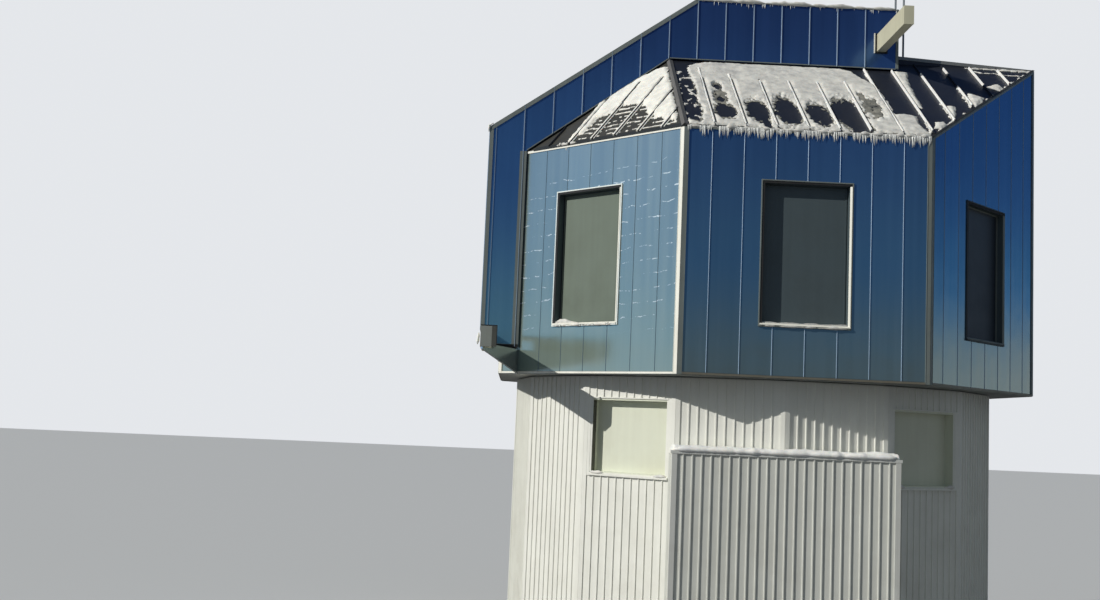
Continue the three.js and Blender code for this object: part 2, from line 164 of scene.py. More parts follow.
def makeStretchedNoise():
    # noise drawn out along the height, for rain marks and rolled sheet
    inputs = {"Scale": 4.0, "Stretch": 12.0, "Detail": 4.0, "From": 0.35, "To": 0.65}
    tree, given, result = startGroup("stretchedNoise", inputs, "Value", "Float")
    shrink = sums(tree, "DIVIDE", 1.0, given["Stretch"])
    scale = addNode(tree, "CombineXYZ", {0: 1.0, 1: 1.0, 2: shrink}).outputs[0]
    place = addNode(tree, "VectorMath", {0: objectPlace(tree), 1: scale}, operation="MULTIPLY").outputs[0]
    cloud = cloudNoise(tree, place, given["Scale"], given["Detail"])
    tree.links.new(remap(tree, cloud, given["From"], given["To"]), result)
    return tree


def makeShift():
    # lightens or darkens a colour about a mask's middle
    inputs = {"Colour": (0.5, 0.5, 0.5, 1), "Mask": 0.5, "Amount": 0.1}
    tree, given, result = startGroup("shift", inputs, "Colour", "Color")
    span = sums(tree, "MULTIPLY", sums(tree, "SUBTRACT", given["Mask"], 0.5), given["Amount"])
    factor = sums(tree, "ADD", span, 1.0)
    grey = addNode(tree, "CombineColor", {0: factor, 1: factor, 2: factor}).outputs[0]
    tree.links.new(mixColour(tree, 1.0, given["Colour"], grey, "MULTIPLY"), result)
    return tree


def makeFrostMarksAndLitHaze():
    # short level wisps of frost, and a pale haze over the whole wall that is painted light
    inputs = {"Spacing": 0.27, "Amount": 0.5, "Haze": 0.1}
    tree, given, result = startGroup("frostMarksAndLitHaze", inputs, "Mask", "Float")
    place = objectPlace(tree)
    rise = axis(tree, place, "Z")
    leaned = sums(tree, "SUBTRACT", rise, sums(tree, "MULTIPLY", axis(tree, place, "X"), 0.08))
    height = sums(tree, "ADD", leaned, sums(tree, "MULTIPLY", cloudNoise(tree, place, 3.4, 3.0), 0.16))
    level = sums(tree, "FRACT", sums(tree, "DIVIDE", height, given["Spacing"]))
    line = remap(tree, sums(tree, "ABSOLUTE", sums(tree, "SUBTRACT", level, 0.5)), 0.05, 0.0)
    kept = remap(tree, cloudNoise(tree, place, 4.6, 4.0, 0.75), 0.51, 0.58)
    within = sums(tree, "MULTIPLY", remap(tree, rise, 6.75, 7.1), remap(tree, rise, 10.2, 9.9))
    wisps = sums(tree, "MULTIPLY", line, sums(tree, "MULTIPLY", kept, within))
    # the haze is a pale cloudy wash over the wall: painted light, not frost
    haze = sums(tree, "MULTIPLY", cloudNoise(tree, place, 0.9, 3.0), given["Haze"])
    bright = sums(tree, "MULTIPLY", wisps, given["Amount"])
    tree.links.new(sums(tree, "ADD", bright, haze, clamp=True), result)
    return tree


def makeSheetRelief():
    # slow waves of thin sheet with a fine grain on top
    inputs = {"Wave": 1.2, "Grain": 40.0, "Grain Share": 0.1}
    tree, given, result = startGroup("sheetRelief", inputs, "Height", "Float")
    place = objectPlace(tree)
    grain = sums(tree, "MULTIPLY", cloudNoise(tree, place, given["Grain"], 2.0), given["Grain Share"])
    tree.links.new(sums(tree, "ADD", cloudNoise(tree, place, given["Wave"], 1.0), grain), result)
    return tree


def makeGrime():
    # patches of dirt, thicker low on the piece
    inputs = {"Scale": 1.5, "Lowest": 0.0, "Highest": 6.0, "Amount": 0.3}
    tree, given, result = startGroup("grime", inputs, "Mask", "Float")
    place = objectPlace(tree)
    low = remap(tree, axis(tree, place, "Z"), given["Highest"], given["Lowest"])
    spread = remap(tree, cloudNoise(tree, place, given["Scale"], 6.0, 0.65), 0.42, 0.72)
    share = sums(tree, "MULTIPLY", spread, sums(tree, "ADD", sums(tree, "MULTIPLY", low, 0.7), 0.3))
    tree.links.new(sums(tree, "MULTIPLY", share, given["Amount"], clamp=True), result)
    return tree


riseFade = makeRiseFade()
stretchedNoise = makeStretchedNoise()
shift = makeShift()
frostMarksAndLitHaze = makeFrostMarksAndLitHaze()
sheetRelief = makeSheetRelief()
grime = makeGrime()


def startMaterial(name, **sockets):
    material = bpy.data.materials.new(name)
    material.use_nodes = True
    tree = material.node_tree
    shader = tree.nodes["Principled BSDF"]
    for key, value in sockets.items():
        shader.inputs[key].default_value = value
    return material, tree, shader


def dress(tree, shader, tint, roughness, height, strength, distance):
    bump = addNode(tree, "Bump", {"Height": height, "Strength": strength, "Distance": distance}).outputs[0]
    for key, value in (("Base Color", tint), ("Roughness", roughness), ("Normal", bump)):
        tree.links.new(value, shader.inputs[key])


def tonedBy(tree, tint, masks):
    # each mask shifts the tint by its own amount
    for mask, amount in masks:
        tint = placeGroup(tree, shift, {"Colour": tint, "Mask": mask, "Amount": amount})
    return tint


def makeCladMetal(
    name, tints, lowest, highest, frost=0.0, haze=0.0, metallic=0.6, rough=(0.15, 0.22), streak=0.1
):
    material, tree, shader = startMaterial(name, Metallic=metallic)
    low, middle, high = (colour(*tint) for tint in tints)
    # the colours by height are a painted sky reflection: paler low, deeper blue high
    fade = placeGroup(tree, riseFade, {
        "Lowest": lowest, "Middle": (lowest + highest) / 2, "Highest": highest,
        "Low Colour": low, "Middle Colour": middle, "High Colour": high,
    })
    streaks = placeGroup(tree, stretchedNoise, {"Scale": 7.0, "Stretch": 30.0})
    pan = addNode(tree, "Attribute", attribute_name="tone").outputs["Fac"]
    toned = tonedBy(tree, fade, ((streaks, streak), (pan, 0.3)))
    marks = placeGroup(tree, frostMarksAndLitHaze, {"Amount": frost, "Haze": haze})
    dulled = sums(tree, "MULTIPLY", marks, 0.5)
    gloss = sums(tree, "ADD", remap(tree, streaks, 0.0, 1.0, *rough), dulled, clamp=True)
    height = placeGroup(tree, sheetRelief, {"Wave": 1.6, "Grain": 60.0, "Grain Share": 0.02})
    dress(tree, shader, mixColour(tree, marks, toned, colour(205, 215, 222)), gloss, height, 0.25, 0.02)
    return material


def makePaint(
    name, tint, grimeTint, lowest, highest, dirt, roughness,
    metallic=0.0, streak=0.1, grain=0.1, toneAmount=0.12,
):
    material, tree, shader = startMaterial(name, Metallic=metallic)
    streaks = placeGroup(tree, stretchedNoise, {"Scale": 9.0, "Stretch": 18.0})
    part = addNode(tree, "Attribute", attribute_name="tone").outputs["Fac"]
    toned = tonedBy(tree, colour(*tint), ((streaks, streak), (part, toneAmount)))
    dirty = placeGroup(tree, grime, {"Lowest": lowest, "Highest": highest, "Amount": dirt})
    gloss = remap(tree, dirty, 0.0, 1.0, roughness, min(1.0, roughness + 0.35))
    height = placeGroup(tree, sheetRelief, {"Wave": 2.5, "Grain": 90.0, "Grain Share": grain})
    dress(tree, shader, mixColour(tree, dirty, toned, colour(*grimeTint)), gloss, height, 0.2, 0.008)
    return material


def makeSnow(name, tint, shade, roughness=0.75, subsurface=0.15):
    material, tree, shader = startMaterial(name, **{
        "Subsurface Weight": subsurface, "Subsurface Scale": 0.03, "Subsurface Radius": (0.6, 0.8, 1.0),
    })
    place = objectPlace(tree)
    cloud = cloudNoise(tree, place, 5.0, 7.0, 0.6)
    grain = sums(tree, "MULTIPLY", cloudNoise(tree, place, 28.0, 6.0, 0.7), 0.5)
    tint = mixColour(tree, remap(tree, cloud, 0.4, 0.7), colour(*tint), colour(*shade))
    gloss = remap(tree, cloud, 0.0, 1.0, roughness - 0.15, roughness + 0.15)
    dress(tree, shader, tint, gloss, sums(tree, "ADD", cloud, grain), 0.35, 0.025)
    return material


def makeIce(name):
    material, tree, shader = startMaterial(name, IOR=1.31, **{"Transmission Weight": 0.06})
    cloud = cloudNoise(tree, objectPlace(tree), 14.0, 3.0)
    tint = mixColour(tree, cloud, colour(252, 252, 250), colour(232, 236, 234))
    dress(tree, shader, tint, remap(tree, cloud, 0.0, 1.0, 0.12, 0.4), cloud, 0.4, 0.01)
    return material


# Sheet metal: its three colours from low to high, and the heights they lie between. The paler low and deeper
# blue high colours are a painted sky reflection, not the metal's own colour.
cladMetal = makeCladMetal("cladMetal", ((116, 140, 148), (84, 124, 156), (70, 108, 152)), 6.0, 10.7)
# a paler, greyer copy of the cladding for the two sunlit walls beside the front: painted light, with real
# frost wisps and a painted-light haze over it
cladFrostedSunlit = makeCladMetal(
    "cladFrostedSunlit", ((136, 152, 142), (131, 146, 140), (130, 146, 142)), 6.0, 10.7,
    frost=0.8, haze=0.06, metallic=0.5, rough=(0.16, 0.22), streak=0.07,
)
shutterMetal = makeCladMetal("shutterMetal", ((112, 162, 184), (74, 118, 168), (58, 88, 138)), 6.5, 14.2)

# Paints: tint, dirt's tint, the heights dirt thickens between, dirt, roughness, metallic, streaks, grain
paints = {
    # rib paints: the first is paler than the pans, a painted highlight along each rib; the second is darker,
    # painted shadow lines for the ribs of the sunlit walls beside the front
    "ribHighlightTint": ((146, 166, 184), (110, 120, 126), 6.0, 14.2, 0.25, 0.4, 0.35, 0.2),
    "ribShadowTint": ((104, 126, 140), (92, 104, 112), 6.0, 10.7, 0.25, 0.5, 0.4, 0.1),
    "hipSheet": ((84, 84, 78), (104, 96, 88), 10.6, 13.4, 0.2, 0.4, 0.4, 0.15),
    "roofSheet": ((50, 54, 63), (84, 82, 82), 10.6, 13.4, 0.2, 0.4, 0.4, 0.15),
    "seamMetal": ((138, 140, 136), (90, 88, 82), 6.0, 14.2, 0.2, 0.4, 0.4, 0.12),
    "capMetal": ((112, 111, 108), (88, 85, 80), 10.6, 13.4, 0.3, 0.5, 0.2, 0.12),
    "edgeMetal": ((54, 58, 58), (52, 48, 42), 10.6, 13.4, 0.3, 0.5, 0.3, 0.12),
    "trimMetal": ((126, 134, 130), (88, 88, 82), 6.0, 14.2, 0.35, 0.5, 0.2, 0.14),
    "footMetal": ((124, 120, 106), (84, 76, 62), 6.0, 6.1, 0.3, 0.5, 0.2, 0.1),
    # this dark paint stands for shade: the drum windows' shaded jamb and head, and the shaded inside of the
    # front beam's end
    "shadeDarkTrim": ((92, 94, 86), (60, 54, 46), 6.0, 14.2, 0.4, 0.5, 0.3, 0.14),
    # white casing paint for the vents of the sunlit walls: painted light
    "ventCasingSunlit": ((234, 242, 240), (198, 206, 204), 6.0, 14.2, 0.25, 0.5, 0.0, 0.08),
    "creamTrim": ((240, 240, 230), (190, 184, 168), 6.0, 10.7, 0.25, 0.5, 0.0, 0.08),
    "ventPaint": ((78, 91, 95), (62, 70, 70), 6.9, 9.8, 0.3, 0.55, 0.1, 0.06, 0.08),
    # paler and darker copies of the vent leaf paint, for the sunlit and the shaded walls: painted light and
    # painted shade
    "ventLeafSunlit": ((104, 116, 104), (88, 94, 84), 6.9, 9.8, 0.3, 0.7, 0.0, 0.06, 0.08),
    "ventLeafShaded": ((44, 54, 64), (40, 48, 52), 6.9, 9.8, 0.3, 0.55, 0.1, 0.06, 0.08),
    "drumPaint": ((230, 231, 224), (168, 164, 150), 0.0, 6.0, 0.28, 0.6, 0.0, 0.06),
    # a darker copy of the drum paint for the bay's sheet, which the sun only grazes: painted shade
    "bayShadedPaint": ((212, 214, 208), (158, 156, 144), 0.0, 6.0, 0.28, 0.6, 0.0, 0.06),
    "drumTrim": ((206, 208, 204), (150, 148, 138), 0.0, 6.0, 0.3, 0.45, 0.05, 0.06),
    "windowPaint": ((222, 226, 208), (176, 168, 142), 4.0, 5.6, 0.22, 0.6, 0.0, 0.04),
    "beamPaint": ((206, 204, 178), (140, 132, 108), 6.4, 13.7, 0.35, 0.55, 0.05, 0.08),
    "bracketMetal": ((192, 198, 198), (150, 150, 142), 6.0, 6.5, 0.2, 0.2, 0.85, 0.06),
    "endPaint": ((146, 152, 146), (104, 98, 84), 6.4, 6.9, 0.3, 0.6, 0.1, 0.06),
    "steel": ((134, 138, 136), (92, 82, 68), 0.0, 15.0, 0.35, 0.42, 0.6, 0.12),
    "concrete": ((168, 166, 160), (110, 106, 98), 0.0, 3.2, 0.5, 0.85, 0.0, 0.05, 1.0),
    "rubber": ((30, 31, 32), (80, 80, 78), 6.0, 14.2, 0.25, 0.8, 0.0, 0.1, 0.6),
}
paint = {name: makePaint(name, *values) for name, values in paints.items()}
# the roof snow is tinted darker, and the sunny and fresh snow brighter, than one snow would be: painted shade
# and painted light besides the snow's own tone
snow = makeSnow("snow", (226, 225, 219), (186, 186, 184))
sunnySnow = makeSnow("sunnySnow", (243, 242, 234), (214, 214, 210))
freshLitSnow = makeSnow("freshLitSnow", (248, 248, 244), (226, 228, 230))
oldSnow = makeSnow("oldSnow", (150, 148, 138), (84, 86, 84), 0.6, 0.0)
ice = makeIce("ice")
print("finishes mixed")


# Shapes
def addPiece(name, mesh, material, body):
    bmesh.ops.recalc_face_normals(mesh, faces=mesh.faces)
    data = bpy.data.meshes.new(name)
    mesh.to_mesh(data)
    mesh.free()
    data.materials.append(material)
    piece = bpy.data.objects.new(name, data)
    bpy.context.collection.objects.link(piece)
    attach(piece, body)
    return piece


class Shape:
    # closed forms gathered into one mesh, each with its own tone
    def __init__(self):
        self.mesh = bmesh.new()
        self.tone = self.mesh.faces.layers.float.new("tone")

    def face(self, corners, tone):
        self.mesh.faces.new(corners)[self.tone] = tone

    def skin(self, rings, tone=0.5):
        rings = [[self.mesh.verts.new(p) for p in ring] for ring in rings]
        self.face(list(reversed(rings[0])), tone)
        self.face(rings[-1], tone)
        for lower, upper in zip(rings, rings[1:]):
            for i in range(len(lower)):
                j = (i + 1) % len(lower)
                self.face([lower[i], lower[j], upper[j], upper[i]], tone)

    def sweep(self, spot, outline, start, end, tone=0.5):
        # an outline in two measures, drawn from start to end in the third
        self.skin([[spot(a, b, at) for a, b in outline] for at in (start, end)], tone)

    def bar(self, a, b, across, out, tone=0.5):
        # a strip from a to b, with its width along across and its thickness along out
        a, b, across, out = Vector(a), Vector(b), Vector(across), Vector(out)
        self.skin([[p, p + across, p + across + out, p + out] for p in (a, b)], tone)

    def block(self, place, us, outs, heights, tone=0.5):
        # heights are two numbers, or two pairs where the top or bottom slopes along u
        lows, highs = (h if isinstance(h, tuple) else (h, h) for h in heights)
        near, far = outs
        self.skin([
            [place(u, near, z0), place(u, far, z0), place(u, far, z1), place(u, near, z1)]
            for u, z0, z1 in zip(us, lows, highs)
        ], tone)

    def tube(self, path, radii, count):
        turns = [2 * math.pi * k / count for k in range(count)]
        rings = []
        for i, point in enumerate(path):
            ahead = (path[min(i + 1, len(path) - 1)] - path[max(i - 1, 0)]).normalized()
            across = ahead.orthogonal().normalized()
            other = ahead.cross(across)
            rings.append([point + (across * math.cos(t) + other * math.sin(t)) * radii[i] for t in turns])
        self.skin(rings)

    def finish(self, name, body, slot, material, smooth=False, bevel=0.0):
        piece = addPiece(name, self.mesh, material, body)
        for polygon in piece.data.polygons:
            polygon.use_smooth = smooth
        if bevel:
            rounding = piece.modifiers.new("edges", "BEVEL")
            rounding.width = bevel
            rounding.segments = 2
            rounding.limit_method = "ANGLE"


def wallPlace(angle, apothem):
    # u along a wall, out from its face, z up
    along = Vector((math.cos(angle), math.sin(angle), 0))
    out = Vector((math.sin(angle), -math.cos(angle), 0))
    return lambda u, n, z: along * u + out * (apothem + n) + up * z


def octagonPlace(index):
    return wallPlace((index - 2) * math.pi / 4, octagon["apothem"])


def drumPlace(facet):
    return wallPlace(drum["turn"] + (facet + 0.5) * drum["step"], drum["apothem"])


def spans(u0, u1, gap):
    # what is left of a span outside a gap
    left = [(u0, min(u1, gap[0]))] if u0 < gap[0] else []
    right = [(max(u0, gap[1]), u1)] if u1 > gap[1] else []
    return left + right


def mirrored(side, a, b):
    # a span between two distances from the middle, on one side of it
    return tuple(sorted((side * a, side * b)))


# Octagon walls: flat pans between standing ribs, trims on the corners, eaves and foot
wallNames = ["front", "front_left", "left", "rear_left", "rear", "rear_right", "right", "front_right"]
beside, behind = (1, 7), (3, 5)  # walls beside the front one, and the sloping ones behind
cladding = {
    "pitch": 0.607, "edge": 2.27, "sheet": (0.002, 0.008), "ribHigh": 0.022, "ribLow": 0.016,
    "ribHalf": (0.009, 0.004), "ribBack": 0.004, "ribDrop": 0.003, "joint": 0.001, "foot": 6.055,
    "underEave": 0.05, "toneSpread": 0.4, "leg": 1.7,
}
opening = {"half": 0.86, "low": 6.97, "high": 9.72}
slit = {"half": 1.86, "sill": 6.89}


def wallTop(index):
    # height of the cladding's top along u
    eave, ridge, half = octagon["eave"], octagon["ridge"], octagon["half"]
    if index == 4:
        return lambda u: ridge
    if index in behind:
        hand = 1 if index == 3 else -1
        return lambda u: eave + (ridge - eave) * (half + hand * u) / (2 * half)
    return lambda u: eave


def cladWall(index, seed):
    draw = random.Random(seed)
    place, top = octagonPlace(index), wallTop(index)
    shape, ribs = Shape(), Shape()
    sheet, edge, low = cladding["sheet"], cladding["edge"], cladding["foot"]
    lines = [i * cladding["pitch"] for i in range(-3, 4)]
    edges = [-edge] + lines + [edge]
    over = lambda u: top(u) - cladding["underEave"]
    half, sill = (opening["half"], opening["low"]) if index else (slit["half"], slit["sill"])
    for u0, u1 in zip(edges, edges[1:]):
        tone = 0.5 + draw.uniform(-0.5, 0.5) * cladding["toneSpread"]
        a, b = u0 + cladding["joint"], u1 - cladding["joint"]
        for s, e in spans(a, b, (-half, half)):
            shape.block(place, (s, e), sheet, (low, (over(s), over(e))), tone)
        s, e = max(a, -half), min(b, half)
        if s < e:
            shape.block(place, (s, e), sheet, (low, sill), tone)
            if index:
                shape.block(place, (s, e), sheet, (opening["high"], (over(s), over(e))), tone)
    high, back = cladding["ribLow" if index % 2 else "ribHigh"], cladding["ribBack"]
    (foot, crown), shoulder = cladding["ribHalf"], high - cladding["ribDrop"]
    outline = [(-foot, back), (-crown, shoulder), (0, high), (crown, shoulder), (foot, back)]
    for u in lines:
        if index in beside and abs(u) > cladding["leg"] and (u < 0) == (index == 1):
            continue  # the shutter's leg stands here
        runs = [(low, over(u))]
        if abs(u) < half:
            runs = [(low, sill)] + ([(opening["high"], over(u))] if index else [])
        for z0, z1 in runs:
            ribs.sweep(place, [(u + across, out) for across, out in outline], z0, z1)
    # the sunlit walls beside the front take the paler copy of the cladding: painted light
    name, sunlitFrosted = wallNames[index], index in beside
    shape.finish("cladding_" + name, "dome", "facade_panel", cladFrostedSunlit if sunlitFrosted else cladMetal)
    # ribs on the sunlit walls take the darker rib paint, painted shadow lines; the others take the paler one,
    # a painted highlight
    ribs.finish("cladding_ribs_" + name, "dome", "facade_panel", paint["ribShadowTint" if sunlitFrosted else "ribHighlightTint"])


for index in range(8):
    cladWall(index, 40 + index)
print("octagon clad")


trim = {
    "corner": 0.075, "out": (0.004, 0.022), "bead": 0.008, "beadOut": (0.004, 0.028), "eave": 0.05,
    "base": 6.01, "foot": 0.038, "footOut": (0.004, 0.026), "eaveOut": (0.003, 0.026),
}


def trimWalls():
    sunlitCream, plain, foot = Shape(), Shape(), Shape()
    half, inner, base = octagon["half"], octagon["half"] - trim["corner"], trim["base"]
    for index in range(8):
        place, top = octagonPlace(index), wallTop(index)
        # the trims, and the foot strip of the front left wall, on the two sunlit walls take the cream paint:
        # painted light
        shape = sunlitCream if index < 2 else plain
        for side in (-1, 1):
            u0, u1 = mirrored(side, half + 0.004, inner)
            tops = (top(max(-half, u0)) - 0.02, top(min(half, u1)) - 0.02)
            shape.block(place, (u0, u1), trim["out"], (base, tops))
            u0, u1 = mirrored(side, inner - trim["bead"], inner)
            tops = (top(u0) - 0.03, top(u1) - 0.03)
            shape.block(place, (u0, u1), trim["beadOut"], (base + 0.01, tops), 0.35)
        strip = sunlitCream if index == 1 else foot
        strip.block(place, (-inner, inner), trim["footOut"], (base, base + trim["foot"]))
        for s, e in [(-inner, inner)] if index else spans(-inner, inner, (-slit["half"], slit["half"])):
            lows, highs = ((top(s) - under, top(e) - under) for under in (trim["eave"] + 0.01, 0.012))
            shape.block(place, (s, e), trim["eaveOut"], (lows, highs))
    sunlitCream.finish("painted_sunlit_corner_trims", "dome", "structural_steel", paint["creamTrim"])
    plain.finish("corner_trims", "dome", "structural_steel", paint["trimMetal"])
    foot.finish("foot_trims", "dome", "structural_steel", paint["footMetal"])


trimWalls()


# Vent doors: a thin casing round each opening, gaskets on the frame, a leaf with its edge strips
vent = {
    "half": 0.85, "low": 6.98, "high": 9.71, "frame": 0.045, "casing": 0.024, "casingOut": (0.006, 0.03),
    "sillOut": (0.016, 0.045), "recess": 0.15, "leafRoom": 0.02, "gasket": (0.0155, 0.021), "bead": 0.038,
    "strip": 0.03, "stripInset": 0.07, "leafOut": 0.010, "stripOut": 0.018,
}


def ventParts(index):
    place = octagonPlace(index)
    alongWall = lambda n, z, u: place(u, n, z)
    casing, leaf, gaskets, bead = Shape(), Shape(), Shape(), Shape()
    half, low, high, wide, outs = (vent[key] for key in ("half", "low", "high", "casing", "casingOut"))
    for side in (-1, 1):
        casing.block(place, mirrored(side, half, half + wide), outs, (low - wide, high + wide))
    casing.block(place, (-half, half), outs, (high, high + wide), 0.6)
    casing.block(place, (-half, half), vent["sillOut"], (low - wide, low), 0.6)
    inner = half - vent["frame"]
    gaskets.block(place, (-half + 0.001, -inner), vent["gasket"], (low + 0.04, high - 0.001))
    gaskets.block(place, (-inner, half - 0.001), vent["gasket"], (high - 0.044, high - 0.001))
    edge = [(inner, 0.016), (half - 0.001, 0.016), (half - 0.001, vent["bead"]), (half - 0.012, vent["bead"])]
    bead.sweep(place, edge, low + 0.03, high - 0.046)
    lip = [(0.016, low + 0.045), (0.055, low + 0.016), (0.055, low + 0.006), (0.016, low + 0.006)]
    bead.sweep(alongWall, lip, -half + 0.002, half - 0.002)
    back, gap, strip = -vent["recess"], vent["leafRoom"], vent["strip"]
    reach, room = inner - gap, vent["frame"] + gap
    leaf.block(place, (-reach, reach), (back + 0.001, back + vent["leafOut"]), (low + room, high - room))
    stripOut, inset = (back + vent["leafOut"], back + vent["stripOut"]), vent["stripInset"]
    for side in (-1, 1):
        us = mirrored(side, reach - strip, reach - 0.002)
        leaf.block(place, us, stripOut, (low + inset, high - inset), 0.45)
    for z in (low + inset - 0.002, high - inset - strip + 0.002):
        leaf.block(place, (-reach + strip, reach - strip), stripOut, (z, z + strip), 0.45)
    casingPaint, beadPaint, leafPaint = "trimMetal", "creamTrim", "ventPaint"
    # on the sunlit walls beside the front the casing is whiter and the leaf paler: painted light
    if index in beside:
        casingPaint, leafPaint = "ventCasingSunlit", "ventLeafSunlit"
        for side in (-1, 1):
            us = mirrored(side, inner - 0.001, reach + 0.002)
            gaskets.block(place, us, (back + 0.001, back + 0.016), (low + 0.06, high - 0.06))
    # on the shaded walls behind, the casing and the leaf are darker: painted shade
    if index in behind:
        casingPaint, beadPaint, leafPaint = "edgeMetal", "trimMetal", "ventLeafShaded"
        outs = (back + 0.02, back + 0.05)
        bead.block(place, (inner - 0.008, inner + 0.012), outs, (low + 0.05, high - 0.05))
        bead.block(place, (-inner + 0.002, inner - 0.01), outs, (high - 0.066, high - 0.046))
    name = wallNames[index]
    casing.finish("vent_casing_" + name, "dome", "vent_door", paint[casingPaint], bevel=0.003)
    gaskets.finish("vent_gasket_" + name, "dome", "vent_door", paint["rubber"], bevel=0.002)
    bead.finish("vent_bead_" + name, "dome", "vent_door", paint[beadPaint])
    leaf.finish("vent_leaf_" + name, "dome", "vent_door", paint[leafPaint])


for index in range(1, 8):
    ventParts(index)
print("vents fitted")


# Roof: standing seams, hip caps, eave and rake edges, with snow lodged against the seams
roof = {
    "pitch": 0.60, "first": 0.02, "seamHalf": 0.008, "seamHigh": 0.042, "capWide": 0.06, "hipPitch": 0.6,
    "capCrest": 0.055, "capEdge": (0.004, 0.025),
    # where the front seams go under the snow, then each seam's snow: x, and from and to in plan
    "bare": (2.55, 2.3, 2.05, 2.1, 2.1, 2.2),
    "capped": [
        (-1.78, 0.1, 2.55), (-1.18, 0.1, 2.3), (-0.58, 0.1, 2.05), (0.02, 0.1, 2.1), (0.62, 0.1, 2.1),
        (1.22, 0.1, 2.2), (1.82, 0.1, 2.9), (2.42, 0.2, 2.9), (3.02, 0.7, 2.8), (3.62, 2.84, 3.14),
        (3.62, 1.4, 2.25), (4.22, 2.38, 3.25), (4.82, 2.52, 3.2),
    ],
    # snow beside the hip's seams: where along the eave, and from and to in plan
    "banks": [(-0.6, 0.02, 0.45), (0.0, 0.03, 0.95), (0.6, 0.03, 0.95), (1.2, 0.03, 0.62), (1.8, 0.03, 0.4)],
}


def sideRoofPlace(hand):
    # x along the building, d down-slope distance from the eave in plan, h off the surface
    slope = octagon["roofSlope"]
    off = Vector((0, hand * slope, 1)).normalized()
    return lambda x, d, h: Vector((x, hand * (octagon["apothem"] - d), octagon["eave"] + d * slope)) + off * h


def hipRoofPlace(hand):
    # u along the eave of the hip, d in plan from that eave, h off the surface
    angle = -math.pi / 4 if hand < 0 else math.pi + math.pi / 4
    along = Vector((math.cos(angle), math.sin(angle), 0)) * -hand
    out = Vector((math.sin(angle), -math.cos(angle), 0))
    apothem, eave, slope = octagon["apothem"], octagon["eave"], octagon["hipSlope"]
    off = (out * slope + up).normalized()
    return lambda u, d, h: along * u + out * (apothem - d) + up * (eave + d * slope) + off * h


def rakeStart(x):
    # plan distance from the eave line at which the side roof starts
    return max(0.0, x - octagon["half"])


def besideSeam(x):
    # distance along the roof from the nearest seam
    return x - round((x - roof["first"]) / roof["pitch"]) * roof["pitch"] - roof["first"]


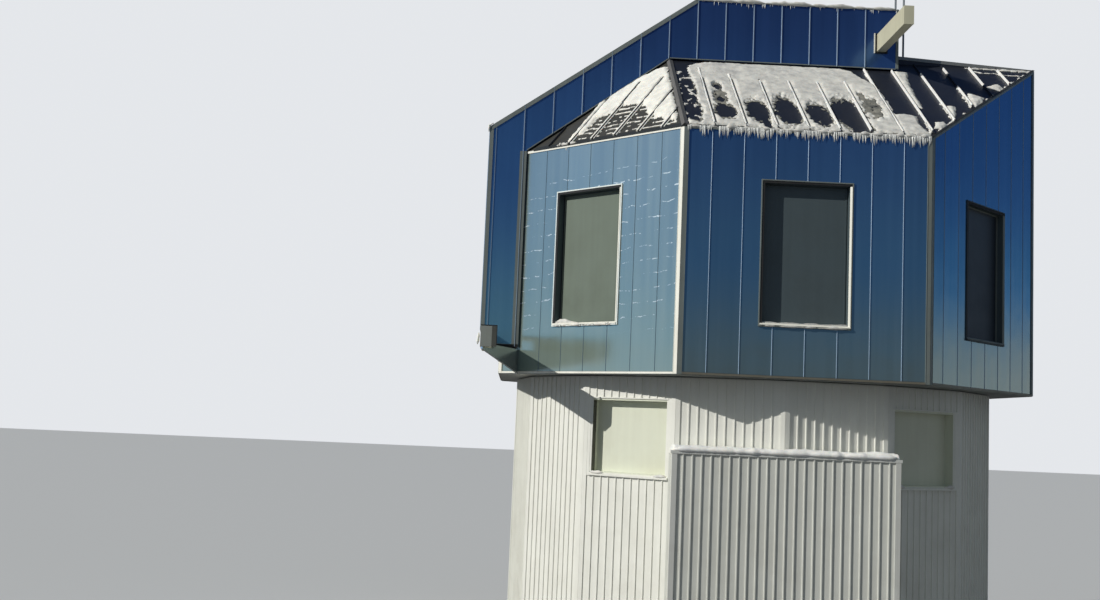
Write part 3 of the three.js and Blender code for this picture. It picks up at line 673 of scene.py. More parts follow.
def roofParts(hand, side):
    seams, edges, hips, caps, banks = Shape(), Shape(), Shape(), Shape(), Shape()
    place, hipPlace = sideRoofPlace(hand), hipRoofPlace(hand)
    upSide, upHip = (lambda u, h, d: place(u, d, h)), (lambda u, h, d: hipPlace(u, d, h))
    half, apothem = octagon["half"], octagon["apothem"]
    wide, tall = roof["seamHalf"], roof["seamHigh"]

    def addSeam(spot, u, lower, upper):
        outline = [(u - wide, 0.001), (u + wide, 0.001), (u + wide * 0.7, tall), (u - wide * 0.7, tall)]
        seams.sweep(spot, outline, lower, upper)

    for i in range(-3, 9):
        x = i * roof["pitch"] + roof["first"]
        upper = apothem - (shutter["face"] + 0.02 if x < shutter["rear"] + 0.03 else half + 0.03)
        upper = roof["bare"][i + 3] if i < 3 else upper
        if rakeStart(x) + 0.02 < upper - 0.2:
            addSeam(upSide, x, rakeStart(x) + 0.02, upper)
    for i in range(-3, 4):
        u = i * roof["hipPitch"]
        # the shutter's side stands past this
        reach = apothem - (shutter["face"] + 0.02 - u / math.sqrt(2)) * math.sqrt(2)
        upper = min(octagon["hipDepth"] * (1 - abs(u) / half) - 0.05, reach)
        if upper > 0.25:
            addSeam(upHip, u, 0.02, upper)
    # hip cap, as a bent sheet over the line where the two roofs meet
    near = shutter["face"] + 0.03
    low = Vector((-half, hand * apothem, octagon["eave"]))
    high = Vector((-half, hand * near, octagon["eave"] + (apothem - near) * octagon["roofSlope"]))
    flat = (place(0, 0, 1) - place(0, 0, 0)).normalized()
    leaned = (hipPlace(0, 0, 1) - hipPlace(0, 0, 0)).normalized()
    run = (high - low).normalized()
    onSide, onHip = flat.cross(run).normalized(), leaned.cross(run).normalized()
    onSide = (onSide if onSide.x > 0 else -onSide) * roof["capWide"]
    onHip = (onHip if onHip.x < 0 else -onHip) * roof["capWide"]
    crest, (under, over) = (flat + leaned).normalized() * roof["capCrest"], roof["capEdge"]
    hips.skin([[
        p + onHip + leaned * under, p + onHip + leaned * over, p + crest,
        p + onSide + flat * over, p + onSide + flat * under,
    ] for p in (low, high)])
    # eave edges and the rake edge behind
    overhang = [(0.06, 0.004), (0.06, 0.012), (-0.03, 0.012)]
    edges.sweep(lambda d, h, x: place(x, d, h), [(-0.012, -0.09), (0.0, -0.09)] + overhang, -half, half)
    hipLip = [(-0.012, -0.06), (0.0, -0.06)] + overhang
    edges.sweep(lambda d, h, u: hipPlace(u, d, h), hipLip, -half + 0.75, half)
    rake = [(0.02, 0.004), (0.02, 0.02), (-0.02, 0.02), (-0.02, 0.004)]
    edges.sweep(lambda s, h, x: place(x + s, x - half - s / 2, h), rake, half, apothem, 0.45)
    for seam, d0, d1 in roof["capped"]:
        reach = 0.024 if seam < 1.7 else 0.016
        outline = [(-reach, 0.004), (0.006, 0.004), (0.007, 0.053), (-reach * 0.7, 0.05)]
        caps.sweep(upSide, [(seam + u, h) for u, h in outline], d0, d1)
    for u, d0, d1 in roof["banks"]:
        for a, b, high in ((-0.075, -0.010, 0.045), (0.011, 0.045, 0.028)):
            outline = [(a, 0.003), (b, 0.003), (b, high), (a * 0.6 + b * 0.4, high)]
            banks.sweep(upHip, [(u + s, h) for s, h in outline], d0, d1)
    hips.finish("hip_cap_" + side, "dome", "roof_metal", paint["capMetal"])
    caps.finish("seam_snow_" + side, "dome", None, freshLitSnow)
    banks.finish("hip_seam_snow_" + side, "dome", None, sunnySnow, bevel=0.006)
    seams.finish("roof_seams_" + side, "dome", "roof_metal", paint["roofSheet"])
    edges.finish("roof_edges_" + side, "dome", "roof_metal", paint["edgeMetal"])


for hand, side in sides:
    roofParts(hand, side)
print("roof seamed")


# Shutter halves: ribs on every face, trims along the edges, the foot strips and the weather seals
skinRibs = {
    "pitch": 0.602, "first": 0.038, "crossFirst": 0.10, "crossPitch": 0.61, "half": 0.012, "high": 0.022,
    "section": ((-0.014, 0.004), (0.010, 0.004), (0.005, 0.024), (-0.005, 0.024)),
}
skinTrim = {"front": 0.08, "top": 0.085, "leg": 0.14, "foot": 0.02, "rear": 0.06, "thick": 0.010}
skin = {"sheet": (0.001, 0.005), "joint": 0.002, "gap": 0.003, "toneSpread": 0.22, "laps": (0.34, 0.67)}
collar = {"hole": (2.075, 2.315), "heights": (13.21, 13.62), "rubber": 0.018, "edge": 2.032}
seal = {"teeth": 9, "short": 0.03, "long": 0.065, "sheet": (0.0145, 0.0185), "foot": -0.03}


def shutterTop(x):
    slope = (shutter["top"] - shutter["frontTop"]) / (shutter["bend"] - shutter["front"])
    return min(shutter["top"], shutter["frontTop"] + (x - shutter["front"]) * slope)


def shutterFoot(x):
    if x < shutter["legFront"]:
        return shutter["beamRest"]
    if x < shutter["legRear"]:
        return shutter["legFoot"]
    slope = (shutter["foot"] - shutter["legTop"]) / (-octagon["half"] - shutter["legRear"])
    return min(shutter["foot"], shutter["legTop"] + (x - shutter["legRear"]) * slope)


def shutterParts(hand, side):
    body = side + "_shutter"
    face, out = hand * shutter["face"], Vector((0, hand, 0))
    ribs, trims, feet, skins, seals, pale = (Shape() for part in range(6))
    lift = lambda x, z, d: Vector((x, face + hand * d, z))
    draw = random.Random(7 if hand < 0 else 8)
    rear, front, bend, top, frontTop = (shutter[key] for key in ("rear", "front", "bend", "top", "frontTop"))
    rest, foot, legFront, legRear = (shutter[key] for key in ("beamRest", "foot", "legFront", "legRear"))
    legFoot, legTop = shutter["legFoot"], shutter["legTop"]
    knee = -octagon["half"]
    lines = [skinRibs["first"] + skinRibs["pitch"] * k for k in range(-9, 4)]
    # side pans between the ribs
    edges = [front + 0.002] + lines + [rear - 0.002]
    joint, gap = skin["joint"], skin["gap"]
    for a, b in zip(edges, edges[1:]):
        cuts = sorted({a, b} | {x for x in (legFront, legRear, bend, knee) if a < x < b})
        tone = 0.5 + draw.uniform(-skin["toneSpread"], skin["toneSpread"])
        for s, e in zip(cuts, cuts[1:]):
            near, far = shutterFoot(s + 1e-6) + gap, shutterFoot(e - 1e-6) + gap
            s, e = s + (joint if s == a else 0), e - (joint if e == b else 0)
            for p, q in spans(s, e, collar["hole"]):
                outline = [(p, near), (q, far), (q, shutterTop(q) - gap), (p, shutterTop(p) - gap)]
                skins.sweep(lift, outline, *skin["sheet"], tone)
            p, q = max(s, collar["hole"][0]), min(e, collar["hole"][1])
            if p < q:
                for z0, z1 in ((near, collar["heights"][0]), (collar["heights"][1], shutterTop(p) - gap)):
                    skins.sweep(lift, [(p, z0), (q, z0), (q, z1), (p, z1)], *skin["sheet"], tone)
    for x in lines:
        outline = [(x + u, d) for u, d in skinRibs["section"]]
        ribs.sweep(lambda u, d, z: lift(u, z, d), outline, shutterFoot(x) + 0.01, shutterTop(x) - 0.01)
    # trims on the side face: front edge, sloped edge, top edge, rear edge, leg and foot
    thick = out * skinTrim["thick"]
    low = lambda x, z: lift(x, z, 0.006)
    slope = Vector((bend - front, 0, top - frontTop)).normalized()
    down, over = Vector((slope.z, 0, -slope.x)), Vector((-slope.z, 0, slope.x))
    for (x0, z0), (x1, z1), across, times, tone in (
        ((front - 0.004, rest + 0.004), (front - 0.004, frontTop), (skinTrim["front"], 0, 0), 1, 0.5),
        ((front, frontTop + 0.004), (bend, top + 0.004), down * skinTrim["top"], 1.5, 0.6),
        ((bend, top + 0.004), (rear, top + 0.004), (0, 0, -0.03), 1.5, 0.6),
        ((rear + 0.004, foot + 0.005), (rear + 0.004, top), (-skinTrim["rear"], 0, 0), 1, 0.5),
        ((legRear, legFoot + 0.005), (legRear, legTop - 0.01), (-skinTrim["leg"], 0, 0), 1, 0.4),
        ((legFront, legFoot + 0.005), (legRear, legFoot + 0.005), (0, 0, 0.05), 1, 0.4),
        ((front, rest + 0.004), (legFront, rest + 0.004), (0, 0, 0.035), 1.4, 0.3),
    ):
        trims.bar(low(x0, z0), low(x1, z1), across, thick * times, tone)
    kneeFoot = low(knee, foot + 0.004)
    feet.bar(low(legRear, legTop + 0.004), kneeFoot, (0, 0, skinTrim["foot"] * 1.2), thick, 0.4)
    feet.bar(kneeFoot, low(rear, foot + 0.004), (0, 0, skinTrim["foot"]), thick, 0.4)
    x = front + 0.13
    ribs.bar(low(x, rest + 0.05), low(x, shutterTop(x) - 0.09), (0.012, 0, 0), thick)
    # rubber round the rear beam's hole, with a pale edge in front
    wide = collar["rubber"]
    x0, x1 = collar["hole"][0] - 0.015, collar["hole"][1] + 0.015
    z0, z1 = collar["heights"][0] - 0.015, collar["heights"][1] + 0.015
    for z in (z0, z1 - wide):
        seals.bar(low(x0, z), low(x1, z), (0, 0, wide), thick)
    for x in (x0, x1 - wide):
        seals.bar(low(x, z0 + wide), low(x, z1 - wide), (wide, 0, 0), thick)
    pale.bar(low(collar["edge"], z0), low(collar["edge"], z1), (0.026, 0, 0), thick)
    # ribs that run up the front, over the bend and along the top, and down the rear
    wide = Vector((0, skinRibs["half"], 0))

    def crossRib(first, last, normal):
        crown, crest, ends = wide * 0.5, normal * skinRibs["high"], (Vector(first), Vector(last))
        ribs.skin([[p - wide, p + wide, p + crown + crest, p - crown + crest] for p in ends])

    for k in range(5):
        y = hand * (skinRibs["crossFirst"] + skinRibs["crossPitch"] * k)
        if abs(y) > shutter["face"] - 0.06:
            continue
        ahead = Vector((-1, 0, 0))
        crossRib((front - 0.001, y, shutter["frontFoot"] + 0.02), (front - 0.001, y, frontTop - 0.01), ahead)
        first, last = Vector((front, y, frontTop)) + over * 0.001, Vector((bend, y, top)) + over * 0.001
        crossRib(first + slope * 0.03, last - slope * 0.02, over)
        crossRib((bend + 0.03, y, top + 0.001), (rear - 0.02, y, top + 0.001), up)
        crossRib((rear + 0.001, y, 13.32), (rear + 0.001, y, top - 0.01), -ahead)
    # level laps where the long sheets overlap
    y0, y1 = hand * 0.01, hand * (shutter["face"] - 0.055)
    for share in skin["laps"]:
        p = Vector((front, 0, frontTop)).lerp(Vector((bend, 0, top)), share) + over * 0.001
        trims.bar((p.x, y0, p.z), (p.x, y1, p.z), slope * 0.06, over * 0.006, 0.6)
    x, z = front - 0.001, shutter["frontFoot"] + 0.004
    trims.bar((x, y0, z), (x, y1, z), (0, 0, 0.08), (-0.012, 0, 0), 0.4)
    z = frontTop - 0.10
    trims.bar((x, y0, z), (x, face, z), (0, 0, 0.10), (-0.012, 0, 0))
    # saw-edged rubber below the leg, and rubber along the foot over the roof
    x0, count = legFront + 0.015, seal["teeth"] * 2
    outline = [
        (x0 + (legRear - legFront - 0.02) * k / count, legFoot - seal["short" if k % 2 else "long"])
        for k in range(count + 1)
    ] + [(legRear - 0.005, legFoot + 0.045), (x0, legFoot + 0.045)]
    seals.sweep(lift, outline, *seal["sheet"])
    start, end = lift(legRear + 0.02, legTop + 0.02, seal["foot"]), lift(knee, foot + 0.004, seal["foot"])
    seals.bar(start, end, (0, 0, -0.012), out * 0.02)
    for shape, name, material in (
        (skins, "_pans", shutterMetal), (ribs, "_ribs", paint["ribHighlightTint"]),
        (trims, "_trims", paint["trimMetal"]), (feet, "_foot_trims", paint["trimMetal"]),
    ):
        shape.finish(body + name, body, "facade_panel", material)
    seals.finish(body + "_seals", body, None, paint["rubber"])
    pale.finish(body + "_collar_edge", body, "facade_panel", paint["creamTrim"], bevel=0.002)


for hand, side in sides:
    shutterParts(hand, side)


def meetingCap():
    # cover strip on the left half over the line where the halves meet
    cap = Shape()
    front, bend, top, frontTop = (shutter[key] for key in ("front", "bend", "top", "frontTop"))
    slope, ahead = Vector((bend - front, 0, top - frontTop)).normalized(), Vector((-1, 0, 0))
    out = Vector((-slope.z, 0, slope.x))
    path = [
        ((front, 0, shutter["frontFoot"] + 0.03), ahead),
        ((front, 0, frontTop), (ahead + out).normalized()),
        ((bend, 0, top), (up + out).normalized()),
        ((shutter["rear"] - 0.002, 0, top), up),
    ]
    wide = Vector((0, 0.06, 0))
    corners = ((-1, 0.004), (0.7, 0.004), (0.7, 0.03), (-1, 0.03))
    rings = [[Vector(p) + wide * share + n * high for share, high in corners] for p, n in path]
    for pair in zip(rings, rings[1:]):
        cap.skin(pair)
    cap.finish("left_shutter_meeting_cap", "left_shutter", "facade_panel", paint["trimMetal"])


meetingCap()
print("shutters dressed")


# Beams: edge lips along the front rail and its deep left end, and end plates
beamTrim = {
    "lip": 0.022, "proud": 0.012, "deep": (6.42, 6.83), "rail": 6.75, "step": -3.05, "end": 4.65,
    "front": -6.03, "back": -5.84, "plate": 0.22, "shadedFlange": 0.09, "rear": (2.092, 13.228, 13.612),
}


def beamParts():
    front, plate, inset, rear, edge = (Shape() for part in range(5))
    far, step, lip, proud = (beamTrim[key] for key in ("end", "step", "lip", "proud"))
    low, high = beamTrim["deep"]
    x, back = beamTrim["front"], beamTrim["back"]
    for z, a, b in ((low, -far, step), (high - lip, -far, far), (beamTrim["rail"], step, far)):
        front.bar((x, a + 0.01, z), (x, b - 0.01, z), (0, 0, lip), (-proud, 0, 0))
    front.bar((back, -far + 0.01, low), (back, step - 0.01, low), (0, 0, lip), (proud, 0, 0))
    front.bar((x - 0.005, far, 6.752), (x - 0.005, far, 6.828), (0.2, 0, 0), (0, 0.010, 0))
    x, end = x - 0.01, high - 0.004
    plate.bar((x, -far, low), (x, -far, end), (beamTrim["plate"], 0, 0), (0, -0.010, 0), 0.3)
    # a dark strip on the end's back half stands for the shaded open side of the beam's channel: painted shade
    inset.bar((-5.82, -far, low), (-5.82, -far, end), (beamTrim["shadedFlange"], 0, 0), (0, -0.012, 0), 0.9)
    end = high - 0.003
    edge.bar((x, -far, end), (-5.72, -far, end), (0, 0, 0.014), (0, -0.016, 0))
    edge.bar((-5.729, -far, low + 0.03), (-5.729, -far, end), (0.012, 0, 0), (0, -0.016, 0))
    x, z0, z1 = beamTrim["rear"]
    for hand in (-1, 1):
        rear.bar((x, hand * far, z0), (x, hand * far, z1), (0.205, 0, 0), (0, hand * 0.010, 0))
    front.finish("front_beam_lips", "dome", "beam_paint", paint["beamPaint"], bevel=0.002)
    plate.finish("front_beam_end_plate", "dome", "beam_paint", paint["endPaint"], bevel=0.002)
    inset.finish("front_beam_end_shaded_flange", "dome", "beam_paint", paint["shadeDarkTrim"], bevel=0.002)
    edge.finish("front_beam_end_edging", "dome", None, paint["rubber"])
    rear.finish("rear_beam_ends", "dome", "beam_paint", paint["beamPaint"], bevel=0.002)


beamParts()


# Deck behind the shutters: edge trims and feet of the masts
deck = {"top": 2.575, "start": 2.58, "rise": 0.17, "seamPitch": 0.62, "masts": (2.726, 2.909), "mastY": -2.0}


def deckParts():
    shape, feet = Shape(), Shape()
    ridge, half, apothem = octagon["ridge"], octagon["half"], octagon["apothem"]
    start, rise = deck["start"], deck["rise"]
    for hand in (-1, 1):
        y, across = hand * (half + 0.006), (0, -hand * 0.07, 0)
        shape.bar((start, y, ridge + rise + 0.001), (apothem, y, ridge + 0.002), across, up * 0.012)
        y = hand * half
        shape.bar((start, y, ridge + 0.11), (apothem, y, ridge - 0.06), up * 0.072, (0, hand * 0.008, 0), 0.7)
    shape.bar((apothem, -half, ridge - 0.08), (apothem, half, ridge - 0.08), up * 0.085, (0.014, 0, 0))
    for i in range(-3, 4):
        y = i * deck["seamPitch"] - 0.012
        high, low = (start + 0.01, y, ridge + rise), (apothem, y, ridge + 0.001)
        shape.bar(high, low, (0, 0.024, 0), up * 0.035, 0.4)
    shape.finish("deck_trims", "dome", "roof_metal", paint["seamMetal"])
    turns = [k * math.pi / 8 for k in range(16)]
    for x in deck["masts"]:
        y, z = deck["mastY"], ridge + rise * (apothem - x) / (apothem - deck["top"])
        ring = lambda r, h: [Vector((x + r * math.cos(t), y + r * math.sin(t), z + h)) for t in turns]
        feet.skin([ring(0.075, 0.002), ring(0.075, 0.02)])
        feet.skin([ring(0.04, 0.02), ring(0.026, 0.10)])
    feet.finish("mast_feet", "dome", "structural_steel", paint["steel"])


deckParts()
print("beams and deck done")


# Drum: trapezoid-ribbed sheet, corner flashings, window casings and sills, the bay and its ledge
sheetRib = {"pitch": 0.1735, "foot": 0.015, "crown": 0.010, "high": 0.026, "flat": 0.004}
drumSheet = {
    "foot": 0.22, "top": 5.965, "corner": 0.085, "windows": (1, 6, 9, 14), "bay": (0, 15), "overBay": 4.62,
    "cornerOut": (0.001, 0.026), "footOut": (0.001, 0.05),
}
drumWindow = {
    "half": 0.88, "frame": 0.04, "low": 4.06, "high": 5.55, "sill": 0.90, "casingOut": (0.001, 0.022),
    "frameOut": (0.0105, 0.016), "headOut": (0.001, 0.03), "shadeLining": (-0.838, -0.83),
    "shadeLiningOut": (-0.1, 0.008),
}
bay = {
    "corner": 0.09, "foot": 0.27, "top": 4.54, "flank": (-5.5, -4.86), "cornerOut": (0.001, 0.034),
    "cap": 0.03, "capOut": (0.0205, 0.036), "capTop": 4.603,
}


def ribbed(shape, place, u0, u1, z0, z1):
    # one profile from u0 to u1, with whole ribs centred in it
    pitch, foot, crown, high, flat = (sheetRib[key] for key in ("pitch", "foot", "crown", "high", "flat"))
    count = max(1, int((u1 - u0 - 0.04) / pitch))
    start = (u0 + u1) / 2 - (count - 1) * pitch / 2
    line = [(u0, flat)]
    for k in range(count):
        c = start + k * pitch
        line += [(c - foot, flat), (c - crown, high), (c + crown, high), (c + foot, flat)]
    line += [(u1, flat)]
    for (a, n0), (b, n1) in zip(line, line[1:]):
        if b - a > 1e-6:
            shape.sweep(place, [(a, 0.001), (b, 0.001), (b, n1), (a, n0)], z0, z1)


def drumParts():
    half, corner = drum["half"], drumSheet["corner"]
    low, high, wide = drumWindow["low"], drumWindow["high"], drumWindow["half"]
    trims, casings, shadeLinings = Shape(), Shape(), Shape()
    for facet in range(drum["sides"]):
        place = drumPlace(facet)
        alongWall = lambda n, z, u: place(u, n, z)
        shape = Shape()
        foot, top = drumSheet["overBay" if facet in drumSheet["bay"] else "foot"], drumSheet["top"]
        runs = [(foot, top)]
        if facet in drumSheet["windows"]:
            runs = [(foot, low - 0.05), (high + 0.02, top)]
            for side in (-1, 1):
                tall = (low - 0.05, high + 0.018)
                casings.block(place, mirrored(side, wide, half - corner), drumWindow["casingOut"], tall, 0.55)
                us = mirrored(side, wide, wide - drumWindow["frame"])
                casings.block(place, us, drumWindow["frameOut"], (low + 0.03, high - 0.004), 0.55)
            outline = [(0.002, low + 0.02), (0.055, low - 0.01), (0.055, low - 0.045), (0.002, low - 0.045)]
            casings.sweep(alongWall, outline, -drumWindow["sill"], drumWindow["sill"], 0.6)
            casings.block(place, (-wide, wide), drumWindow["headOut"], (high - 0.004, high + 0.018))
            # dark strips on the left jamb and the head, the recess's shaded sides: painted shade
            (left, right), outs = drumWindow["shadeLining"], drumWindow["shadeLiningOut"]
            shadeLinings.block(place, (left, right), outs, (low + 0.03, high - 0.02))
            shadeLinings.block(place, (right + 0.002, -right), outs, (high - 0.03, high - 0.02))
        for z0, z1 in runs:
            ribbed(shape, place, -half + corner, half - corner, z0, z1)
        shape.finish("drum_sheet_%d" % (facet + 1), "drum", "drum_cladding", paint["drumPaint"])
        for side in (-1, 1):
            us = mirrored(side, half + 0.003, half - corner)
            trims.block(place, us, drumSheet["cornerOut"], (foot, top + 0.005))
        if facet not in drumSheet["bay"]:
            slab = drum["slab"]
            trims.block(place, (-half, half), drumSheet["footOut"], (slab + 0.005, slab + 0.07), 0.45)
    trims.finish("drum_trims", "drum", "drum_cladding", paint["drumPaint"])
    casings.finish("drum_window_casings", "drum", "drum_window_panel", paint["drumPaint"])
    shadeLinings.finish("drum_window_shade_linings", "drum", "drum_window_panel", paint["shadeDarkTrim"])


def bayParts():
    shape, trims = Shape(), Shape()
    reach, foot, top, inner = drum["bayHalf"], bay["foot"], bay["top"], drum["bayHalf"] - bay["corner"]
    place = wallPlace(drum["turn"], drum["bayFront"])
    ribbed(shape, place, -inner, inner, foot, top + 0.005)
    for side in (-1, 1):
        trims.block(place, mirrored(side, reach + 0.006, inner), bay["cornerOut"], (drum["slab"], top))
        flank = wallPlace(drum["turn"] + side * math.pi / 2, reach)
        ribbed(shape, flank, *mirrored(side, *bay["flank"]), foot, top)
    trims.block(place, (-reach, reach), drumSheet["footOut"], (drum["slab"] + 0.005, foot), 0.45)
    cap = reach + bay["cap"]
    trims.block(place, (-cap, cap), bay["capOut"], (top + 0.005, bay["capTop"]), 0.6)
    shape.finish("bay_sheet", "drum", "drum_cladding", paint["bayShadedPaint"])
    trims.finish("bay_trims", "drum", "drum_cladding", paint["drumTrim"])


drumParts()
bayParts()
print("drum clad")


# Snow: a closed sheet on a plane, as deep as depthAt says, with its outline drawn where that passes zero
snowLayer = {"floor": 0.001, "least": 0.004, "reach": 0.95}


def snowSheet(name, body, place, us, vs, step, depthAt, material):
    countU, countV = int((us[1] - us[0]) / step) + 1, int((vs[1] - vs[0]) / step) + 1
    depth = [[depthAt(us[0] + i * step, vs[0] + j * step) for j in range(countV)] for i in range(countU)]
    spots, cells = {}, []
    for i in range(countU - 1):
        for j in range(countV - 1):
            ring = [(i, j), (i + 1, j), (i + 1, j + 1), (i, j + 1)]
            if sum(depth[a][b] > 0 for a, b in ring) >= 3:
                cells.append(ring)
                spots.update(dict.fromkeys(ring))
    mesh = bmesh.new()
    tops, bottoms, floor = {}, {}, snowLayer["floor"]
    for i, j in spots:
        u, v, d = us[0] + i * step, vs[0] + j * step, depth[i][j]
        if d <= 0:
            moves = []
            for a, b in ((i - 1, j), (i + 1, j), (i, j - 1), (i, j + 1)):
                if (a, b) in spots and depth[a][b] > 0:
                    share = min(snowLayer["reach"], -d / (depth[a][b] - d))
                    moves.append(((a - i) * step * share, (b - j) * step * share))
            if moves:
                u += sum(m[0] for m in moves) / len(moves)
                v += sum(m[1] for m in moves) / len(moves)
        tops[i, j] = mesh.verts.new(place(u, v, floor + max(snowLayer["least"], d)))
        bottoms[i, j] = mesh.verts.new(place(u, v, floor))
    border = {}
    for ring in cells:
        mesh.faces.new([tops[s] for s in ring]).smooth = True
        mesh.faces.new([bottoms[s] for s in reversed(ring)])
        for a, b in zip(ring, ring[1:] + ring[:1]):
            if (b, a) in border:
                del border[b, a]
            else:
                border[a, b] = True
    for a, b in border:
        mesh.faces.new([tops[a], bottoms[a], bottoms[b], tops[b]])
    addPiece(name, mesh, material, body)


def ripple(u, v, scale, seed=0.0):
    return noise.fractal(Vector((u * scale, v * scale, seed)), 1.0, 2.0, 4)


def inside(u, v, outline):
    # signed distance to a closed outline, positive inside
    nearest, within = 1e9, False
    for (a, b), (c, d) in zip(outline, outline[1:] + outline[:1]):
        du, dv = c - a, d - b
        share = max(0.0, min(1.0, ((u - a) * du + (v - b) * dv) / (du * du + dv * dv)))
        nearest = min(nearest, math.hypot(u - a - share * du, v - b - share * dv))
        if (b > v) != (d > v) and u < a + (v - b) * du / dv:
            within = not within
    return nearest if within else -nearest


# Side roof's snow, in x along the eave and plan distance from it. Patches are centre, then half sizes,
# and their edges' ripple is its scale, seed and share.
roofSnow = {
    "depth": 0.045,
    "outline": [
        (-2.3, 0.02), (2.36, 0.02), (2.24, 0.15), (2.1, 0.5), (1.9, 0.98), (1.92, 1.6), (1.86, 2.15),
        (1.7, 2.42), (1.5, 2.76), (1.3, 2.89), (0.3, 2.9), (-1.1, 2.9), (-1.7, 2.86), (-1.98, 2.7),
        (-2.04, 2.5), (-2.12, 1.2),
    ],
    "melted": [
        (-2.1, 1.5, 0.12, 0.95), (-2.1, 0.62, 0.15, 0.4), (-1.48, 0.66, 0.19, 0.3), (-1.5, 1.15, 0.07, 0.12),
        (-1.5, 1.72, 0.06, 0.1), (-0.84, 0.72, 0.2, 0.42), (-0.24, 0.77, 0.23, 0.52),
        (0.37, 0.68, 0.21, 0.42), (0.95, 0.8, 0.3, 0.56), (1.05, 0.25, 0.22, 0.3), (-0.75, 0.22, 0.07, 0.2),
    ],
    "thin": [
        (1.52, 1.1, 0.17, 0.42), (1.42, 1.6, 0.07, 0.15), (-1.5, 1.25, 0.13, 0.35), (-1.5, 1.75, 0.08, 0.14),
    ],
    "meltedEdge": (11.0, 7.0, 0.35), "thinEdge": (8.0, 2.0, 0.5), "crustDepth": 0.012, "oldDepth": 0.014,
}


def beyond(kind, x, d):
    # how far a spot lies outside each patch of a kind, in shares of the patch's size
    scale, seed, share = roofSnow[kind + "Edge"]
    edge = share * ripple(x, d, scale, seed)
    return [math.hypot((x - cx) / rx, (d - cd) / rd) - 1 + edge for cx, cd, rx, rd in roofSnow[kind]]


def roofSnowDepth(x, d):
    rim = inside(x, d, roofSnow["outline"]) + 0.04 * ripple(x, d, 7.0, 3.0)
    depth = min(roofSnow["depth"] * (0.9 + 0.35 * ripple(x, d, 2.4)), rim * 0.8)
    depth = min(depth, *((away - 0.12) * 0.14 for away in beyond("melted", x, d)))
    depth = min(depth, *(away * 0.1 for away in beyond("thin", x, d)))
    if x < -1.9 and d < 2.4:
        crust = 0.04 * (ripple(x * 1.6, d, 5.0, 12.0) + 0.5 * ripple(x, d, 16.0, 6.0) - 0.2)
        depth = max(depth, min(roofSnow["crustDepth"], crust, (x + 2.3) * 0.2))
    offSeam = besideSeam(x)
    if 0.1 < d < 2.1 and 0 < offSeam < 0.14:
        depth = min(depth, (offSeam - 0.024) * 0.45)
    room = (octagon["apothem"] - d - shutter["face"] + 0.05) * octagon["roofSlope"] - 0.02
    return min(depth, room * 0.8)


def oldSnowDepth(x, d):
    # old snow, thin enough to darken, round the hollows and over the worn patches
    melted, thin = beyond("melted", x, d), beyond("thin", x, d)
    frayed, crumbs = 0.012 * ripple(x, d, 18.0, 1.0), 0.02 * (ripple(x, d, 13.0, 5.0) - 0.1)
    best = max(-0.01, *(min(away, 0.26 - away) * 0.08 + frayed for away in melted))
    best = max(best, *(min(0.012, (0.12 - away) * 0.1) + crumbs for away in thin))
    best = min(best, *((away + 0.06) * 0.1 for away in melted))
    return min(best, roofSnow["oldDepth"], (inside(x, d, roofSnow["outline"]) - 0.02) * 0.5)


# Banks and drifts behind the shutters, as outlines in the same two measures
rearSnow = {
    "depth": 0.04,
    "outlines": [
        [
            (2.45, 2.92), (2.78, 2.88), (2.66, 2.49), (2.6, 1.86), (2.56, 1.11), (2.45, 1.25), (2.44, 2.04),
            (2.44, 2.61),
        ],
        [(1.85, 0.85), (2.06, 0.91), (2.32, 0.83), (2.27, 0.49), (2.37, 0.04), (2.03, 0.02), (1.8, 0.02)],
        [(3.06, 1.37), (3.28, 1.35), (3.14, 0.91), (3.03, 0.8)],
        [(3.74, 2.02), (4.04, 1.8), (3.7, 1.32), (3.63, 1.31), (3.68, 1.79)],
        [(4.25, 2.36), (4.58, 2.55), (4.62, 2.33), (4.51, 2.16), (4.29, 2.29)],
        [(4.87, 2.65), (5.07, 2.74), (5.05, 2.66), (4.86, 2.5)],
        [
            (4.12, 3.31), (4.15, 3.25), (4.6, 3.24), (5.11, 3.2), (5.5, 3.18), (5.56, 3.28), (5.1, 3.3),
            (4.6, 3.31),
        ],
        [
            (4.26, 3.13), (4.45, 3.02), (4.72, 3.05), (4.79, 2.99), (5.33, 2.97), (5.33, 3.02), (4.82, 3.04),
            (4.72, 3.1), (4.47, 3.07), (4.3, 3.17),
        ],
        [(2.5, 0.34), (2.62, 0.62), (2.78, 0.66), (2.84, 0.5), (2.66, 0.3)],
        [(1.78, 2.7), (1.84, 2.92), (1.9, 2.9), (1.87, 2.2), (1.9, 1.2), (1.8, 1.2)],
    ],
}


def rearSnowDepth(x, d):
    limit, upslope, offSeam = octagon["apothem"] - octagon["half"], d - rakeStart(x), besideSeam(x)
    edge = 0.025 * ripple(x, d, 9.0, 4.0)
    best = max(-0.02, *((inside(x, d, outline) + edge) * 0.6 for outline in rearSnow["outlines"]))
    if -0.14 < offSeam < 0 and 0.1 < upslope < 1.0 and x < 3.7:
        best = max(best, (0.05 * (1.0 - upslope) + 0.05 * ripple(x, d, 7.0, 5.0) + offSeam + 0.02) * 0.7)
    if upslope < 0.1 and x > 2.4:
        best = max(best, (0.04 - upslope + 0.14 * ripple(x, d, 6.0, 6.0)) * 0.3)
    return min(best, rearSnow["depth"], (upslope - 0.01) * 0.8, (limit - d) * 0.8)


